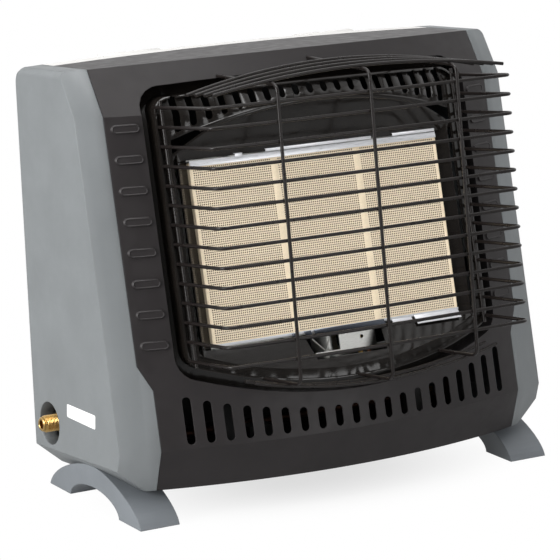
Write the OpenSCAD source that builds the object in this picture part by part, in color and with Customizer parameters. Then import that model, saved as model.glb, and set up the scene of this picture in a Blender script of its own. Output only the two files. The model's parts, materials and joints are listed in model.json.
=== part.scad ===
// Portable propane radiant heater: a bowed sheet-metal front between two moulded end caps,
// three ceramic plaques behind a welded wire guard, two arched feet and a folding rear handle.
// The body is drawn upright in its own frame and leaned back as one piece; the feet stand level.
// Body frame: X to the right, Y to the back, Z up. Millimetres.

/* [Body] */
// Width over the two end caps
body_w = 450; // [430:1:470]
// Height of the top at its two ends, along the leaned body
body_h = 403; // [393:1:413]
// How much higher the top is in the middle than at its ends
top_crown = 4.5; // [3:0.5:6]
// Backward lean of the whole body on its feet, in degrees
body_lean = 4.15; // [2:0.05:6]
// Radius of the bowed front, seen from above
bow_r = 520; // [480:5:600]
// Distance of the lower crease in front of the body's datum
crease_y = 110.3; // [104:0.1:116]
// Height of the lower crease of the front
crease_low_z = 68.4; // [64:0.1:74]
// Height of the upper crease of the front
crease_high_z = 361.8; // [352:0.1:366]
// Tilt of the front below the lower crease, in degrees
tilt_low = -20.7; // [-26:0.1:-14]
// Backward tilt of the main front face, in degrees
tilt_face = 9.1; // [6:0.1:12]
// Backward tilt of the bevel above the upper crease, in degrees
tilt_top = 32.4; // [26:0.1:40]
// Height of the body's underside
under_z = 31; // [27:0.5:35]
// Distance of the rear face behind the datum at its foot
rear_y = 111.5; // [106:0.5:118]
// Forward tilt of the rear face, in degrees
rear_tilt = 1.4; // [0:0.1:3]
// Radius of the edge between the rear face and the top
rear_r = 16; // [8:1:22]

/* [Sheet and mouldings] */
// Thickness of the front panel's sheet
panel_t = 1.5; // [1:0.1:2.5]
// Thickness of the rear cover's sheet
cover_t = 1.2; // [0.8:0.1:2]
// Wall of the end cap mouldings
cap_t = 2.5; // [2:0.1:3.5]
// Width of each end cap above its shoulder
cap_w = 23.5; // [18:0.5:28]
// How much wider each end cap is below its shoulder
cap_step = 10.7; // [6:0.1:14]
// Height of the foot of the shoulder
shoulder_z = 122; // [112:1:126]
// Height of the shoulder's slope
shoulder_h = 22; // [16:1:28]
// Height of the lower edge of the caps' outer faces
cap_edge_z = 52; // [46:1:58]
// Width of the chamfer under each cap
cap_under = 25; // [18:1:26]
// Gap between panels and caps
seam = 0.4; // [0.3:0.1:1]
// Length along the top of the front panel behind the datum
panel_top_y = 70; // [60:1:76]

/* [Window] */
// Half width of the opening in the front panel
window_half = 169.5; // [165:0.5:173]
// Height of the middle of the opening's lower edge
window_low_z = 103.5; // [102:0.5:108]
// Height of the middle of the opening's upper edge
window_high_z = 390; // [386:0.5:394]
// Radius of the opening's lower edge
window_low_r = 500; // [440:10:600]
// Radius of the opening's upper edge
window_high_r = 2800; // [2000:100:4000]
// Radius of the opening's corners
window_corner_r = 22; // [16:1:28]
// Depth of the dark return around the opening
window_return = 14; // [10:1:20]
// Width of the gap between the opening and the bezel
groove = 10; // [7:0.5:12]
// Width of the bezel's flat band
bezel_w = 13; // [10:0.5:15]
// Thickness of the bezel's sheet
bezel_t = 1.2; // [0.8:0.1:2]
// Depth of the bezel's band behind the front
bezel_depth = 3; // [1:0.5:6]
// Width of the lip around the bezel
lip_w = 1.8; // [1.2:0.1:2.5]
// How far the bezel's lip stands in front of the panel
lip_rise = 0.8; // [0.2:0.1:2]
// Height of the middle of the bezel's upper arch
arch_z = 364; // [360:1:367]
// Radius of the bezel's upper arch
arch_r = 430; // [360:10:560]

/* [Slots] */
// Number of slots in the row under the window
slot_n = 20; // [14:2:20]
// Pitch of those slots
slot_pitch = 17.3; // [16:0.1:17.5]
// Width of those slots
slot_w = 7.6; // [4:0.1:8]
// Height of the slots' lower ends
slot_low_z = 72.2; // [70:0.2:76]
// Height of the slots' upper ends in the middle
slot_high_z = 90.4; // [88:0.2:92]
// Number of slots in the vent above the window's arch
vent_n = 20; // [12:2:20]
// Pitch of the vent slots
vent_pitch = 14.6; // [13.6:0.1:14.8]
// Width of the vent slots
vent_w = 6.5; // [5:0.1:8]
// Height of the vent slots' upper ends
vent_high_z = 377; // [375.5:0.5:378]
// Number of raised pills beside the window, on each side
pill_n = 8; // [4:1:8]
// Pitch of the pills
pill_pitch = 27.2; // [24:0.2:28]
// Length of a pill
pill_len = 23.5; // [16:0.5:25]
// Height of a pill
pill_h = 8; // [5:0.5:9]
// How far a pill's rim stands out
pill_rise = 0.6; // [0.3:0.1:1]

/* [Burner] */
// Width of one ceramic plaque
plaque_w = 82; // [78:1:86]
// Height of one ceramic plaque
plaque_h = 162; // [150:1:166]
// Thickness of a plaque
plaque_t = 13; // [10:0.5:15]
// Gap between plaques
plaque_gap = 5; // [3:0.5:7]
// Depth of the plaques' faces behind the front panel
plaque_depth = 27; // [24:0.5:30]
// Height of the plaques' lower edges above the lower crease, along the face
plaque_foot = 92; // [88:0.5:96]
// Depth of the burner box behind the plaques
box_depth = 34; // [26:1:44]
// Thickness of the burner box and its frame
box_t = 1.5; // [1:0.1:2]
// Outside diameter of the mixing tube
mixer_d = 24; // [18:1:28]

/* [Guard] */
// Diameter of the guard's wires
wire_d = 3.2; // [2.6:0.1:4]
// Number of hoops in the guard
hoop_n = 14; // [8:1:14]
// Pitch of the hoops
hoop_pitch = 17.3; // [15:0.1:17.6]
// Half width of a hoop, to the middle of its wire
hoop_half = 156; // [150:0.5:162]
// How far a hoop's front is bowed
hoop_bow = 8; // [6:0.5:22]
// Radius of a hoop's corners
hoop_corner = 9; // [6:0.5:14]
// Distance of the top hoop's corners in front of the datum
guard_y = 135.5; // [126:0.5:138]
// Height of the top hoop's corners
guard_z = 373.3; // [366:0.1:376]
// Backward lean of the guard within the body, in degrees
guard_lean = 3.1; // [1:0.1:5]
// Distance of the outer uprights from the middle
upright_x = 92.5; // [80:0.5:110]
// Number of arched wires over the top of the guard
top_arc_n = 4; // [2:1:4]
// Half span of those wires, to their blunt ends
top_tip = 150; // [120:1:154]
// Rise of the foremost of those wires in the middle
top_bow = 12.5; // [8:0.5:16]
// How much more each one behind it rises
top_bow_step = 1.8; // [0:0.1:2.4]
// Number of wires under the bottom of the guard
bottom_arc_n = 2; // [1:1:2]
// Half span of those wires, to their blunt ends
bottom_tip = 127; // [110:1:140]
// Drop of the lowest wires below the lowest hoop, in the middle
bottom_drop = 34; // [28:0.5:36]
// How far the lowest wires would sag over the span of the top ones
bottom_bow = 22; // [14:0.5:26]
// How far one wire is pressed into another at a weld
weld = 0.5; // [0.3:0.1:0.8]

/* [Feet] */
// Width of a foot
foot_w = 39; // [30:1:44]
// Distance from the body's side to a foot
foot_inset = 8; // [6:0.5:12]
// Length of a foot
foot_len = 181; // [165:1:195]
// Distance of the feet's middle behind the body's datum
foot_mid = 14.5; // [8:0.5:20]
// Height of a foot's outer curve
foot_h = 39; // [34:1:44]
// How flat the flanks of that curve are, where 1 is an ellipse
foot_flat = 1.25; // [1:0.05:1.5]
// Span of the arch under a foot
foot_span = 97; // [85:1:105]
// Height of the arch under a foot
foot_arch = 19; // [16:0.5:20]
// Height of the body's underside above the floor at the feet's middle
foot_clear = 24.5; // [23:0.5:30]
// Thickness of the rubber pads
pad_t = 3; // [2:0.5:5]
// How far the pads stand out of the feet
pad_proud = 1; // [0.5:0.1:1.5]

/* [Controls] */
// Diameter of the control knob
knob_d = 44; // [36:1:50]
// How far the knob stands out of the cap
knob_proud = 9; // [6:0.5:14]
// Distance of the knob's axis behind the datum
knob_y = 36; // [20:1:50]
// Height of the knob's axis
knob_z = 118; // [110:1:130]
// Depth of the round recess behind the knob
recess_depth = 12; // [9:0.5:16]
// Travel of the knob when it is pushed
push_travel = 3; // [2:0.5:4]
// Diameter of the valve's spindle
spindle_d = 8; // [6:0.5:10]
// Radial clearance of a running fit
fit = 0.05; // [0.02:0.01:0.09]
// Diameter of the igniter's button
button_d = 16; // [12:1:20]
// Distance between the knob's axis and the igniter's button
button_gap = 58; // [50:1:70]
// Travel of the igniter's button
button_travel = 4; // [2:0.5:5]

/* [Gas inlet] */
// Outside diameter of the inlet's thread
inlet_d = 15.88; // [12.7:0.01:19.05]
// Bore of the inlet
inlet_bore = 8; // [6:0.5:9]
// Distance of the inlet behind the datum
inlet_y = 79.5; // [70:0.5:84]
// Height of the inlet
inlet_z = 76; // [74:0.5:84]
// How far the inlet stands out of the cap
inlet_proud = 9; // [6:0.5:12]
// Length of the inlet's thread
thread_len = 16; // [14:0.5:18]
// Radius of the hole around the inlet
inlet_hole_r = 20; // [16:0.2:21]
// Diameter of the copper pipes
pipe_d = 6.35; // [4.76:0.01:8]

/* [Handle] */
// Distance between the handle's two arms, middle to middle
handle_w = 210; // [180:2:240]
// Distance from the handle's pivot to the middle of its grip
handle_arm = 46; // [40:1:60]
// Diameter of the handle's grip
grip_d = 15; // [14:0.5:20]
// Diameter of the handle's pins
handle_pin_d = 6; // [5:0.5:8]
// Width of one handle bracket
bracket_w = 60; // [46:1:70]

/* [Hidden] */
$fn = 48;
BIG_FN = 240;

half_w = body_w / 2;
seam_x = half_w - cap_w;                // edge of the front panel above the shoulder
seam_low_x = seam_x - cap_step;         // edge of the front panel below the shoulder
crown_r = half_w * half_w / (2 * top_crown);
wire_r = wire_d / 2;
reach = 1200;                           // longer than anything it cuts

// Front surface: three leaned cylinders that share one bow, seen from above.
face_rise = crease_high_z - crease_low_z;
bevel_y = -crease_y + face_rise * tan(tilt_face);
function zone_r(tilt) = bow_r / cos(tilt);
function zone_y(x, z, y0, z0, tilt) =
    y0 + (z - z0) * tan(tilt)
    + zone_r(tilt) / cos(tilt) * (1 - sqrt(1 - pow(x / zone_r(tilt), 2)));
function front_y(x, z) = max(
    zone_y(x, z, -crease_y, crease_low_z, tilt_low),
    zone_y(x, z, -crease_y, crease_low_z, tilt_face),
    zone_y(x, z, bevel_y, crease_high_z, tilt_top));
function rear_face_y(z) = rear_y - (z - cap_edge_z) * tan(rear_tilt);

// Points on an arc, from angle a0 to a1.
function arc(cx, cy, r, a0, a1, n = 8) =
    [for (i = [0 : n]) let (a = a0 + (a1 - a0) * i / n) [cx + r * cos(a), cy + r * sin(a)]];
// Points on an ellipse from angle a0 to a1; flat above 1 straightens its flanks.
function ellipse_arc(rx, ry, a0, a1, n, flat = 1) =
    [for (i = [0 : n]) let (a = a0 + (a1 - a0) * i / n)
        [rx * sign(cos(a)) * pow(abs(cos(a)), flat), ry * pow(abs(sin(a)), flat)]];

// The row's origin lies under the middle of everything, front to back.
upright_bend = 8;
low_row = -(hoop_n - 1) * hoop_pitch;   // height of the lowest hoop below the top one
handle_z = body_h - 14;
grip_gap = 0.6;                         // between the hanging grip and the rear cover
handle_y = rear_face_y(handle_z - handle_arm) + grip_d / 2 + grip_gap;
function row_y(y, z) = y * cos(body_lean) + z * sin(body_lean);
over = wire_d - weld;                   // between the middles of two welded wires
guard_foot = guard_to_body(
    -hoop_bow - over + upright_bend,
    low_row - bottom_drop + over + upright_bend);
front_reach = row_y(guard_foot[0], guard_foot[1]) - upright_bend - wire_r;
rear_reach = row_y(handle_y, handle_z - handle_arm) + grip_d / 2;
row_shift = -(front_reach + rear_reach) / 2;

// Body onto its feet: leaned back, and lifted so that the arch of the feet clears the floor.
body_lift = foot_clear - (under_z * cos(body_lean) - foot_mid * sin(body_lean));
module lean() {
    translate([0, row_shift, body_lift]) rotate([-body_lean, 0, 0]) children();
}

// Guard frame: its front plane stands upright, with the top hoop's corners at the origin.
module guard_frame() {
    translate([0, -guard_y, guard_z]) rotate([-guard_lean, 0, 0]) children();
}
function guard_to_body(y, z) = [
    -guard_y + y * cos(guard_lean) + z * sin(guard_lean),
    guard_z - y * sin(guard_lean) + z * cos(guard_lean)];

// Face frame: X across, Y into the body, Z up along the main front face from the lower crease.
module face_frame() {
    translate([0, -crease_y, crease_low_z]) rotate([-tilt_face, 0, 0]) children();
}
function face_to_body(y, z) = [
    -crease_y + y * cos(tilt_face) + z * sin(tilt_face),
    crease_low_z - y * sin(tilt_face) + z * cos(tilt_face)];

function body_to_face(y, z) =
    let (dy = y + crease_y, dz = z - crease_low_z)
    [dy * cos(tilt_face) - dz * sin(tilt_face), dy * sin(tilt_face) + dz * cos(tilt_face)];

// ---- Shapes that many pieces share ----

module zone(off, y0, z0, tilt) {
    translate([0, y0, z0]) rotate([-tilt, 0, 0]) translate([0, zone_r(tilt), 0])
        cylinder(r = zone_r(tilt) - off, h = reach, center = true, $fn = BIG_FN);
}

// Everything behind the front surface, moved back by off.
module behind_front(off) {
    intersection() {
        zone(off, -crease_y, crease_low_z, tilt_low);
        zone(off, -crease_y, crease_low_z, tilt_face);
        zone(off, bevel_y, crease_high_z, tilt_top);
    }
}

module below_top(off) {
    translate([0, 0, body_h + top_crown - crown_r]) rotate([90, 0, 0])
        cylinder(r = crown_r - off, h = reach, center = true, $fn = 1440);
}

// Everything in front of the rear face, with its rounded top edge.
module before_rear(off) {
    corner_z = body_h - rear_r;
    corner_y = rear_face_y(corner_z) - rear_r;
    rotate([90, 0, 90]) linear_extrude(height = reach, center = true)
        polygon(concat(
            [[-reach / 2, 0], [rear_face_y(0) - off, 0]],
            arc(corner_y, corner_z, rear_r - off, -rear_tilt, 60),
            [[corner_y - rear_r, body_h + 3 * rear_r], [-reach / 2, body_h + 3 * rear_r]]));
}

module body_solid(off) {
    intersection() {
        behind_front(off);
        below_top(off);
        before_rear(off);
    }
}

// A plate in the XZ plane, from y0 back to y1.
module through_y(y0, y1) {
    translate([0, y1, 0]) rotate([90, 0, 0]) linear_extrude(height = y1 - y0) children();
}

// Upright slot with round ends, from z0 to z1.
module slot_2d(x, z0, z1, w) {
    translate([x, z0 + w / 2]) circle(d = w, $fn = 24);
    translate([x, z1 - w / 2]) circle(d = w, $fn = 24);
    translate([x - w / 2, z0 + w / 2]) square([w, z1 - z0 - w]);
}

// Outline of the window, drawn in by inset.
function window_pts(inset) =
    let (half = window_half - inset,
         cr = window_corner_r - inset * 0.5,
         low_r = window_low_r - inset,
         low_c = window_low_z + window_low_r,
         high_r = window_high_r - inset,
         high_c = window_high_z - window_high_r,
         low_a = acos((half - cr) / (low_r - cr)),
         high_a = acos((half - cr) / (high_r - cr)),
         low_cz = low_c - (low_r - cr) * sin(low_a),
         high_cz = high_c + (high_r - cr) * sin(high_a),
         right = concat(
             arc(0, low_c, low_r, -90, -low_a, 8),
             arc(half - cr, low_cz, cr, -low_a + 12, 0, 4),
             arc(half - cr, high_cz, cr, 0, high_a - 12, 4),
             arc(0, high_c, high_r, high_a, 90, 4)))
    concat(right, [for (i = [len(right) - 2 : -1 : 1]) [-right[i][0], right[i][1]]]);

// Opening of the bezel: an arch above, the window's own curve below.
eye_half = window_half - groove - bezel_w;
eye_low_c = window_low_z + window_low_r;
eye_low_r = window_low_r - groove - bezel_w + 3;
function eye_pts(grow) =
    let (half = eye_half + grow,
         top_r = arch_r + grow,
         top_c = arch_z - arch_r,
         low_r = eye_low_r + grow,
         low_a = acos(half / low_r),
         top_a = acos(half / top_r),
         right = concat(
             arc(0, eye_low_c, low_r, -90, -low_a, 8),
             arc(0, top_c, top_r, top_a, 90, 8)))
    concat(right, [for (i = [len(right) - 2 : -1 : 1]) [-right[i][0], right[i][1]]]);

module window_2d(inset) { polygon(window_pts(inset)); }
module eye_2d(grow) { polygon(eye_pts(grow)); }

// Round wire through the points of one plane, with bends of radius rb.
function heading(a, b) = atan2(b[1] - a[1], b[0] - a[0]);
function dist(a, b) = norm([b[0] - a[0], b[1] - a[1]]);
function turn_at(pts, i) =
    let (t = heading(pts[i], pts[i + 1]) - heading(pts[i - 1], pts[i]))
    t > 180 ? t - 360 : (t < -180 ? t + 360 : t);
function trim_at(pts, i, rb) =
    (i == 0 || i == len(pts) - 1) ? 0 : rb * tan(abs(turn_at(pts, i)) / 2);
module straight_wire(len, r) {
    rotate([90, 0, 90]) linear_extrude(height = len) circle(r = r, $fn = 24);
}
function snap(v) = round(v * 100) / 100;
module wire(points, rb, r) {
    pts = [for (p = points) [snap(p[0]), snap(p[1])]];
    for (i = [0 : len(pts) - 2]) {
        t0 = trim_at(pts, i, rb);
        t1 = trim_at(pts, i + 1, rb);
        translate([pts[i][0], pts[i][1], 0]) rotate([0, 0, heading(pts[i], pts[i + 1])])
            translate([t0, 0, 0]) straight_wire(dist(pts[i], pts[i + 1]) - t0 - t1, r);
    }
    for (i = [1 : 1 : len(pts) - 2]) {
        turn = turn_at(pts, i);
        side = turn > 0 ? 1 : -1;
        translate([pts[i][0], pts[i][1], 0]) rotate([0, 0, heading(pts[i - 1], pts[i])])
            translate([-trim_at(pts, i, rb), side * rb, 0])
            rotate([0, 0, turn > 0 ? -90 : 90 + turn])
            rotate_extrude(angle = abs(turn), $fn = 96)
            translate([rb, 0]) circle(r = r, $fn = 24);
    }
}

// Hoop in the XY plane: a bowed front, two corners and two legs running in +Y to leg_y,
// swept as rings of 8 sides along its path.
function bow_r_of(half, bow) = (half * half + bow * bow) / (2 * bow);
function bow_at(x, half, bow) =
    let (r = bow_r_of(half, bow)) r - bow - sqrt(r * r - x * x);
function hoop_path(half, bow, corner, leg_y) =
    let (r = bow_r_of(half, bow),
         swing = asin((half - corner) / (r - corner)),
         leg_0 = r - bow - (r - corner) * cos(swing))
    concat(
        [[-half, leg_y]],
        arc(-half + corner, leg_0, corner, 180, 270 - swing, 3),
        [for (i = [1 : 7]) let (a = 270 - swing + 2 * swing * i / 8)
            [r * cos(a), r - bow + r * sin(a)]],
        arc(half - corner, leg_0, corner, 270 + swing, 360, 3),
        [[half, leg_y]]);
function unit(a, b) = [b[0] - a[0], b[1] - a[1]] / dist(a, b);
SIDES = 8;
module tube(path, r) {
    last = len(path) - 1;
    pts = [for (i = [0 : last])
        let (u = unit(path[max(i - 1, 0)], path[max(i, 1)]),
             v = unit(path[min(i, last - 1)], path[min(i + 1, last)]),
             half_turn = acos(min(1, u[0] * v[0] + u[1] * v[1])) / 2,
             t = (u + v) / norm(u + v),
             side = [t[1], -t[0]] / cos(half_turn))
        for (j = [0 : SIDES - 1]) let (b = 360 * (j + 0.5) / SIDES)
            [path[i][0] + side[0] * r * cos(b), path[i][1] + side[1] * r * cos(b), r * sin(b)]];
    sweep(pts, last);
}
// Closed tube over rings of points that follow each other.
module sweep(pts, last) {
    polyhedron(
        points = pts,
        faces = concat(
            [for (i = [0 : last - 1], j = [0 : SIDES - 1])
                let (a = i * SIDES + j, b = i * SIDES + (j + 1) % SIDES)
                [a, b, b + SIDES, a + SIDES]],
            [[for (j = [SIDES - 1 : -1 : 0]) j]],
            [[for (j = [0 : SIDES - 1]) last * SIDES + j]]),
        convexity = 10);
}
// Path through the points of one plane with its bends rounded to radius rb.
function bend_path(pts, rb, n = 4) = concat(
    [pts[0]],
    [for (i = [1 : len(pts) - 2])
        let (turn = turn_at(pts, i),
             side = sign(turn),
             h = heading(pts[i - 1], pts[i]),
             c = pts[i] - trim_at(pts, i, rb) * [cos(h), sin(h)] + side * rb * [-sin(h), cos(h)])
        for (k = [0 : n]) let (a = h - side * 90 + turn * k / n) c + rb * [cos(a), sin(a)]],
    [pts[len(pts) - 1]]);
module hoop(half, bow, corner, leg_y, r) {
    tube(hoop_path(half, bow, corner, leg_y), r);
}

// ---- Casing ----

module panel_region() {
    hi = seam_x - seam;
    lo = seam_low_x - seam;
    polygon([
        [-lo, under_z], [lo, under_z], [lo, shoulder_z], [hi, shoulder_z + shoulder_h],
        [hi, body_h + 2 * top_crown], [-hi, body_h + 2 * top_crown],
        [-hi, shoulder_z + shoulder_h], [-lo, shoulder_z]]);
}

pill_x = (seam_x + window_half) / 2 - 0.8;
pill_mid_z = (crease_high_z + shoulder_z + shoulder_h) / 2 + 3.5;
module pills_2d(grow) {
    for (s = [-1, 1], i = [0 : pill_n - 1])
        translate([s * pill_x, pill_mid_z + (i - (pill_n - 1) / 2) * pill_pitch])
            rotate(90) slot_2d(0, -pill_len / 2 - grow, pill_len / 2 + grow, pill_h + 2 * grow);
}

function slot_top(x) = slot_high_z + (window_low_r - sqrt(window_low_r * window_low_r - x * x)) * 0.85;

module front_panel() color([0.25, 0.24, 0.25]) lean() {
    difference() {
        union() {
            difference() {
                intersection() {
                    body_solid(0);
                    through_y(-2 * crease_y, panel_top_y) panel_region();
                }
                body_solid(panel_t);
            }
            // return around the window
            intersection() {
                through_y(-2 * crease_y, 0) difference() {
                    window_2d(-panel_t);
                    window_2d(0);
                }
                difference() {
                    body_solid(panel_t / 2);
                    behind_front(window_return);
                }
            }
            // raised rims of the pills
            intersection() {
                through_y(-2 * crease_y, 0) difference() {
                    pills_2d(0);
                    pills_2d(-1.2);
                }
                difference() {
                    zone(-pill_rise, -crease_y, crease_low_z, tilt_face);
                    zone(panel_t / 2, -crease_y, crease_low_z, tilt_face);
                }
            }
        }
        through_y(-2 * crease_y, 0) window_2d(0);
        through_y(-2 * crease_y, -crease_y / 3)
            for (i = [0 : slot_n - 1])
                let (x = (i - (slot_n - 1) / 2) * slot_pitch) slot_2d(x, slot_low_z, slot_top(x), slot_w);
    }
}

// Right end cap's outline seen from the front, drawn in by off.
cap_corner = 6;
module cap_region(off) {
    out = half_w - off;
    low = under_z + off;
    polygon(concat(
        [[seam_low_x - (off > 0 ? 40 : 0), low], [half_w - cap_under - off * 0.4, low],
         [out, cap_edge_z + off * 0.4]],
        arc(half_w - cap_corner, body_h - cap_corner, cap_corner - off, 0, 80, 5),
        [[half_w - cap_corner, body_h + top_crown],
         [seam_x - (off > 0 ? 40 : 0), body_h + top_crown],
         [seam_x - (off > 0 ? 40 : 0), shoulder_z + shoulder_h],
         [seam_low_x - (off > 0 ? 40 : 0), shoulder_z]]));
}

module cap_solid(off) {
    intersection() {
        body_solid(off);
        through_y(-reach / 2, reach / 2) cap_region(off);
    }
}

// Strip inside the seam, which the panel and the cover lie on.
flange_w = 16;
joint_y = panel_top_y + seam / 2;
module flange_strip(off, y0, y1) {
    over = 2;
    intersection() {
        difference() {
            body_solid(off);
            body_solid(off + cap_t);
        }
        through_y(y0, y1) polygon([
            [seam_low_x - flange_w, under_z + tray_lip + 1], [seam_low_x + over, under_z + tray_lip + 1],
            [seam_low_x + over, shoulder_z], [seam_x + over, shoulder_z + shoulder_h],
            [seam_x + over, body_h + top_crown], [seam_x - flange_w, body_h + top_crown],
            [seam_x - flange_w, shoulder_z + shoulder_h], [seam_low_x - flange_w, shoulder_z]]);
    }
}

module cap_shell() {
    difference() {
        union() {
            difference() {
                cap_solid(0);
                cap_solid(cap_t);
            }
            flange_strip(panel_t, -reach / 2, joint_y);
            flange_strip(cover_t, joint_y, reach / 2);
        }
        foot_screw_places() cylinder(d = screw_d, h = 4 * cap_t, center = true);
        cap_screw_places() cylinder(d = screw_d, h = 6 * cap_t, center = true);
    }
}

module left_end_cap() color([0.47, 0.49, 0.51]) lean() {
    collar = 12;
    difference() {
        union() {
            mirror([1, 0, 0]) cap_shell();
            translate([-half_w + cap_t / 2, inlet_y, inlet_z]) rotate([0, 90, 0])
                cylinder(r = inlet_hole_r + cap_t, h = collar);
        }
        translate([-half_w - cap_t, inlet_y, inlet_z]) rotate([0, 90, 0])
            cylinder(r = inlet_hole_r, h = collar + 3 * cap_t);
    }
}

recess_r = knob_d / 2 + 5;
button_y = knob_y;
button_z = knob_z + button_gap;
module right_end_cap() color([0.47, 0.49, 0.51]) lean() {
    boss_r = button_d / 2 + 4;
    floor_x = half_w - recess_depth;
    difference() {
        union() {
            cap_shell();
            translate([floor_x - cap_t, knob_y, knob_z]) rotate([0, 90, 0])
                cylinder(r = recess_r + cap_t, h = recess_depth + cap_t / 2);
            translate([floor_x - cap_t, button_y, button_z]) rotate([0, 90, 0])
                cylinder(r = boss_r, h = recess_depth + cap_t / 2);
        }
        translate([floor_x, knob_y, knob_z]) rotate([0, 90, 0])
            cylinder(r = recess_r, h = 2 * recess_depth);
        translate([floor_x - 2 * cap_t, knob_y, knob_z]) rotate([0, 90, 0])
            cylinder(r = spindle_d / 2 + 1, h = 4 * cap_t);
        translate([floor_x - 2 * cap_t, button_y, button_z]) rotate([0, 90, 0])
            cylinder(d = button_d + 1, h = 2 * recess_depth);
    }
}

louvre_n = 7;
louvre_w = 44;
louvre_h = 6;
louvre_pitch = 54;
louvre_rows = 6;
louvre_row_pitch = 22;
louvre_mid_z = (cap_edge_z + body_h) / 2 - louvre_row_pitch;
module louvres_2d() {
    for (i = [0 : louvre_n - 1], j = [0 : louvre_rows - 1])
        translate([(i - (louvre_n - 1) / 2) * louvre_pitch,
                   louvre_mid_z + (j - (louvre_rows - 1) / 2) * louvre_row_pitch])
            rotate(90) slot_2d(0, -louvre_w / 2, louvre_w / 2, louvre_h);
}

module rear_cover() color([0.72, 0.73, 0.74]) lean() {
    edge = seam_x - seam;
    low_edge = seam_low_x - seam;
    low = under_z + cover_lift;
    difference() {
        intersection() {
            difference() {
                body_solid(0);
                body_solid(cover_t);
            }
            through_y(panel_top_y + seam, reach / 2) polygon([
                [-low_edge, low], [low_edge, low], [low_edge, shoulder_z],
                [edge, shoulder_z + shoulder_h], [edge, body_h + 2 * top_crown],
                [-edge, body_h + 2 * top_crown], [-edge, shoulder_z + shoulder_h],
                [-low_edge, shoulder_z]]);
        }
        through_y(panel_top_y + 2 * rear_r, reach / 2) louvres_2d();
        case_screw_places() cylinder(d = screw_d, h = 6 * cover_t, center = true);
    }
}

tray_t = 1.2;
tray_lip = 14;
cover_lift = 4;                         // lower edge of the rear cover above the underside
tray_x = seam_low_x;
tray_screw_x = 120;
module base_tray() color([0.2, 0.2, 0.21]) lean() {
    difference() {
        intersection() {
            body_solid(panel_t);
            through_y(-reach / 2, reach / 2) translate([-tray_x, under_z]) square([2 * tray_x, tray_lip]);
        }
        intersection() {
            body_solid(panel_t + tray_t);
            through_y(-reach / 2, reach / 2)
                translate([-tray_x + tray_t, under_z + tray_t]) square([2 * (tray_x - tray_t), 2 * tray_lip]);
        }
        for (i = [-3 : 3], j = [-1, 1])
            translate([i * 46, foot_mid + j * 30, 0]) cylinder(d = 9, h = 2 * under_z);
        tray_screw_places() cylinder(d = screw_d, h = 6 * cover_t, center = true);
    }
}

screw_head_d = 7.5;
screw_d = 3.5;
module screw(len) {
    // pan head above z = 0, shank below
    intersection() {
        translate([0, 0, -2.6]) sphere(d = screw_head_d + 2);
        cylinder(d = screw_head_d, h = 5);
    }
    translate([0, 0, -len]) cylinder(d = screw_d, h = len + 0.5);
}

// Places of the screws in the rear face, with Z out of it.
module on_rear(x, z) {
    translate([x, rear_face_y(z), z]) rotate([-90 + rear_tilt, 0, 0]) children();
}
module cap_screw_places() {
    on_rear(seam_low_x - flange_w / 2, cap_edge_z + 14) children();
    for (k = [1, 2]) on_rear(seam_x - flange_w / 2, cap_edge_z + k * 160) children();
}
module tray_screw_places() {
    for (i = [-1 : 1]) on_rear(i * tray_screw_x, under_z + cover_lift + screw_head_d / 2 + 1.5) children();
}
module case_screw_places() {
    for (side = [0, 1]) mirror([side, 0, 0]) cap_screw_places() children();
    tray_screw_places() children();
}
module case_screws() color([0.3, 0.3, 0.31]) lean() case_screw_places() screw(6);

// ---- Feet, drawn level with their middle at the origin ----

foot_x0 = half_w - foot_inset - foot_w;
foot_y = row_shift + foot_mid;
pad_len = 30;
pad_x = (foot_w - 8);
function pad_mid(s) = s * (foot_span / 2 + (foot_len - foot_span) / 4 - 1);

module foot_profile() {
    outer = ellipse_arc(foot_len / 2, foot_h, 0, 180, 28, foot_flat);
    inner = ellipse_arc(foot_span / 2, foot_arch, 180, 0, 20);
    polygon(concat(outer, inner));
}

// Screws up through the feet into the flat strip of the caps' underside.
foot_screw_x = (seam_low_x + half_w - cap_under) / 2;
foot_screw_gap = 22;
foot_seat = 5.5;
module foot_screw_places() {
    for (s = [-1, 1]) translate([foot_screw_x, foot_mid + s * foot_screw_gap, under_z]) children();
}

module foot_blank() {
    difference() {
        translate([foot_x0, foot_y, 0]) rotate([90, 0, 90]) linear_extrude(height = foot_w)
            foot_profile();
        for (s = [-1, 1])
            translate([foot_x0 + (foot_w - pad_x) / 2, foot_y + pad_mid(s) - pad_len / 2, -1])
                cube([pad_x, pad_len, 1 + pad_t]);
        translate([0, -reach / 2, -reach + pad_proud]) cube(reach);
        lean() through_y(-reach / 2, reach / 2) polygon([
            [seam_low_x - 60, under_z], [half_w - cap_under, under_z], [half_w, cap_edge_z],
            [half_w + 40, cap_edge_z], [half_w + 40, body_h], [seam_low_x - 60, body_h]]);
        lean() foot_screw_places() {
            translate([0, 0, -2 * foot_seat]) cylinder(d = screw_d, h = 3 * foot_seat);
            translate([0, 0, -4 * foot_seat]) cylinder(d = screw_head_d + 1, h = 3 * foot_seat);
        }
    }
}

module right_foot() color([0.42, 0.44, 0.46]) foot_blank();
module left_foot() color([0.42, 0.44, 0.46]) mirror([1, 0, 0]) foot_blank();

module foot_pads() color([0.08, 0.08, 0.08]) {
    for (sx = [-1, 1], s = [-1, 1])
        translate([sx * (foot_x0 + foot_w / 2) - pad_x / 2, foot_y + pad_mid(s) - pad_len / 2, 0])
            cube([pad_x, pad_len, pad_t]);
}

module foot_screws() color([0.3, 0.3, 0.31]) lean() {
    for (side = [0, 1]) mirror([side, 0, 0]) foot_screw_places()
        translate([0, 0, -foot_seat]) rotate([180, 0, 0]) screw(foot_seat + cap_t + 2);
}

// ---- Window: bezel and reflectors ----

function vent_low(x) = arch_z - (arch_r - sqrt(arch_r * arch_r - x * x)) + 4;

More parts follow.
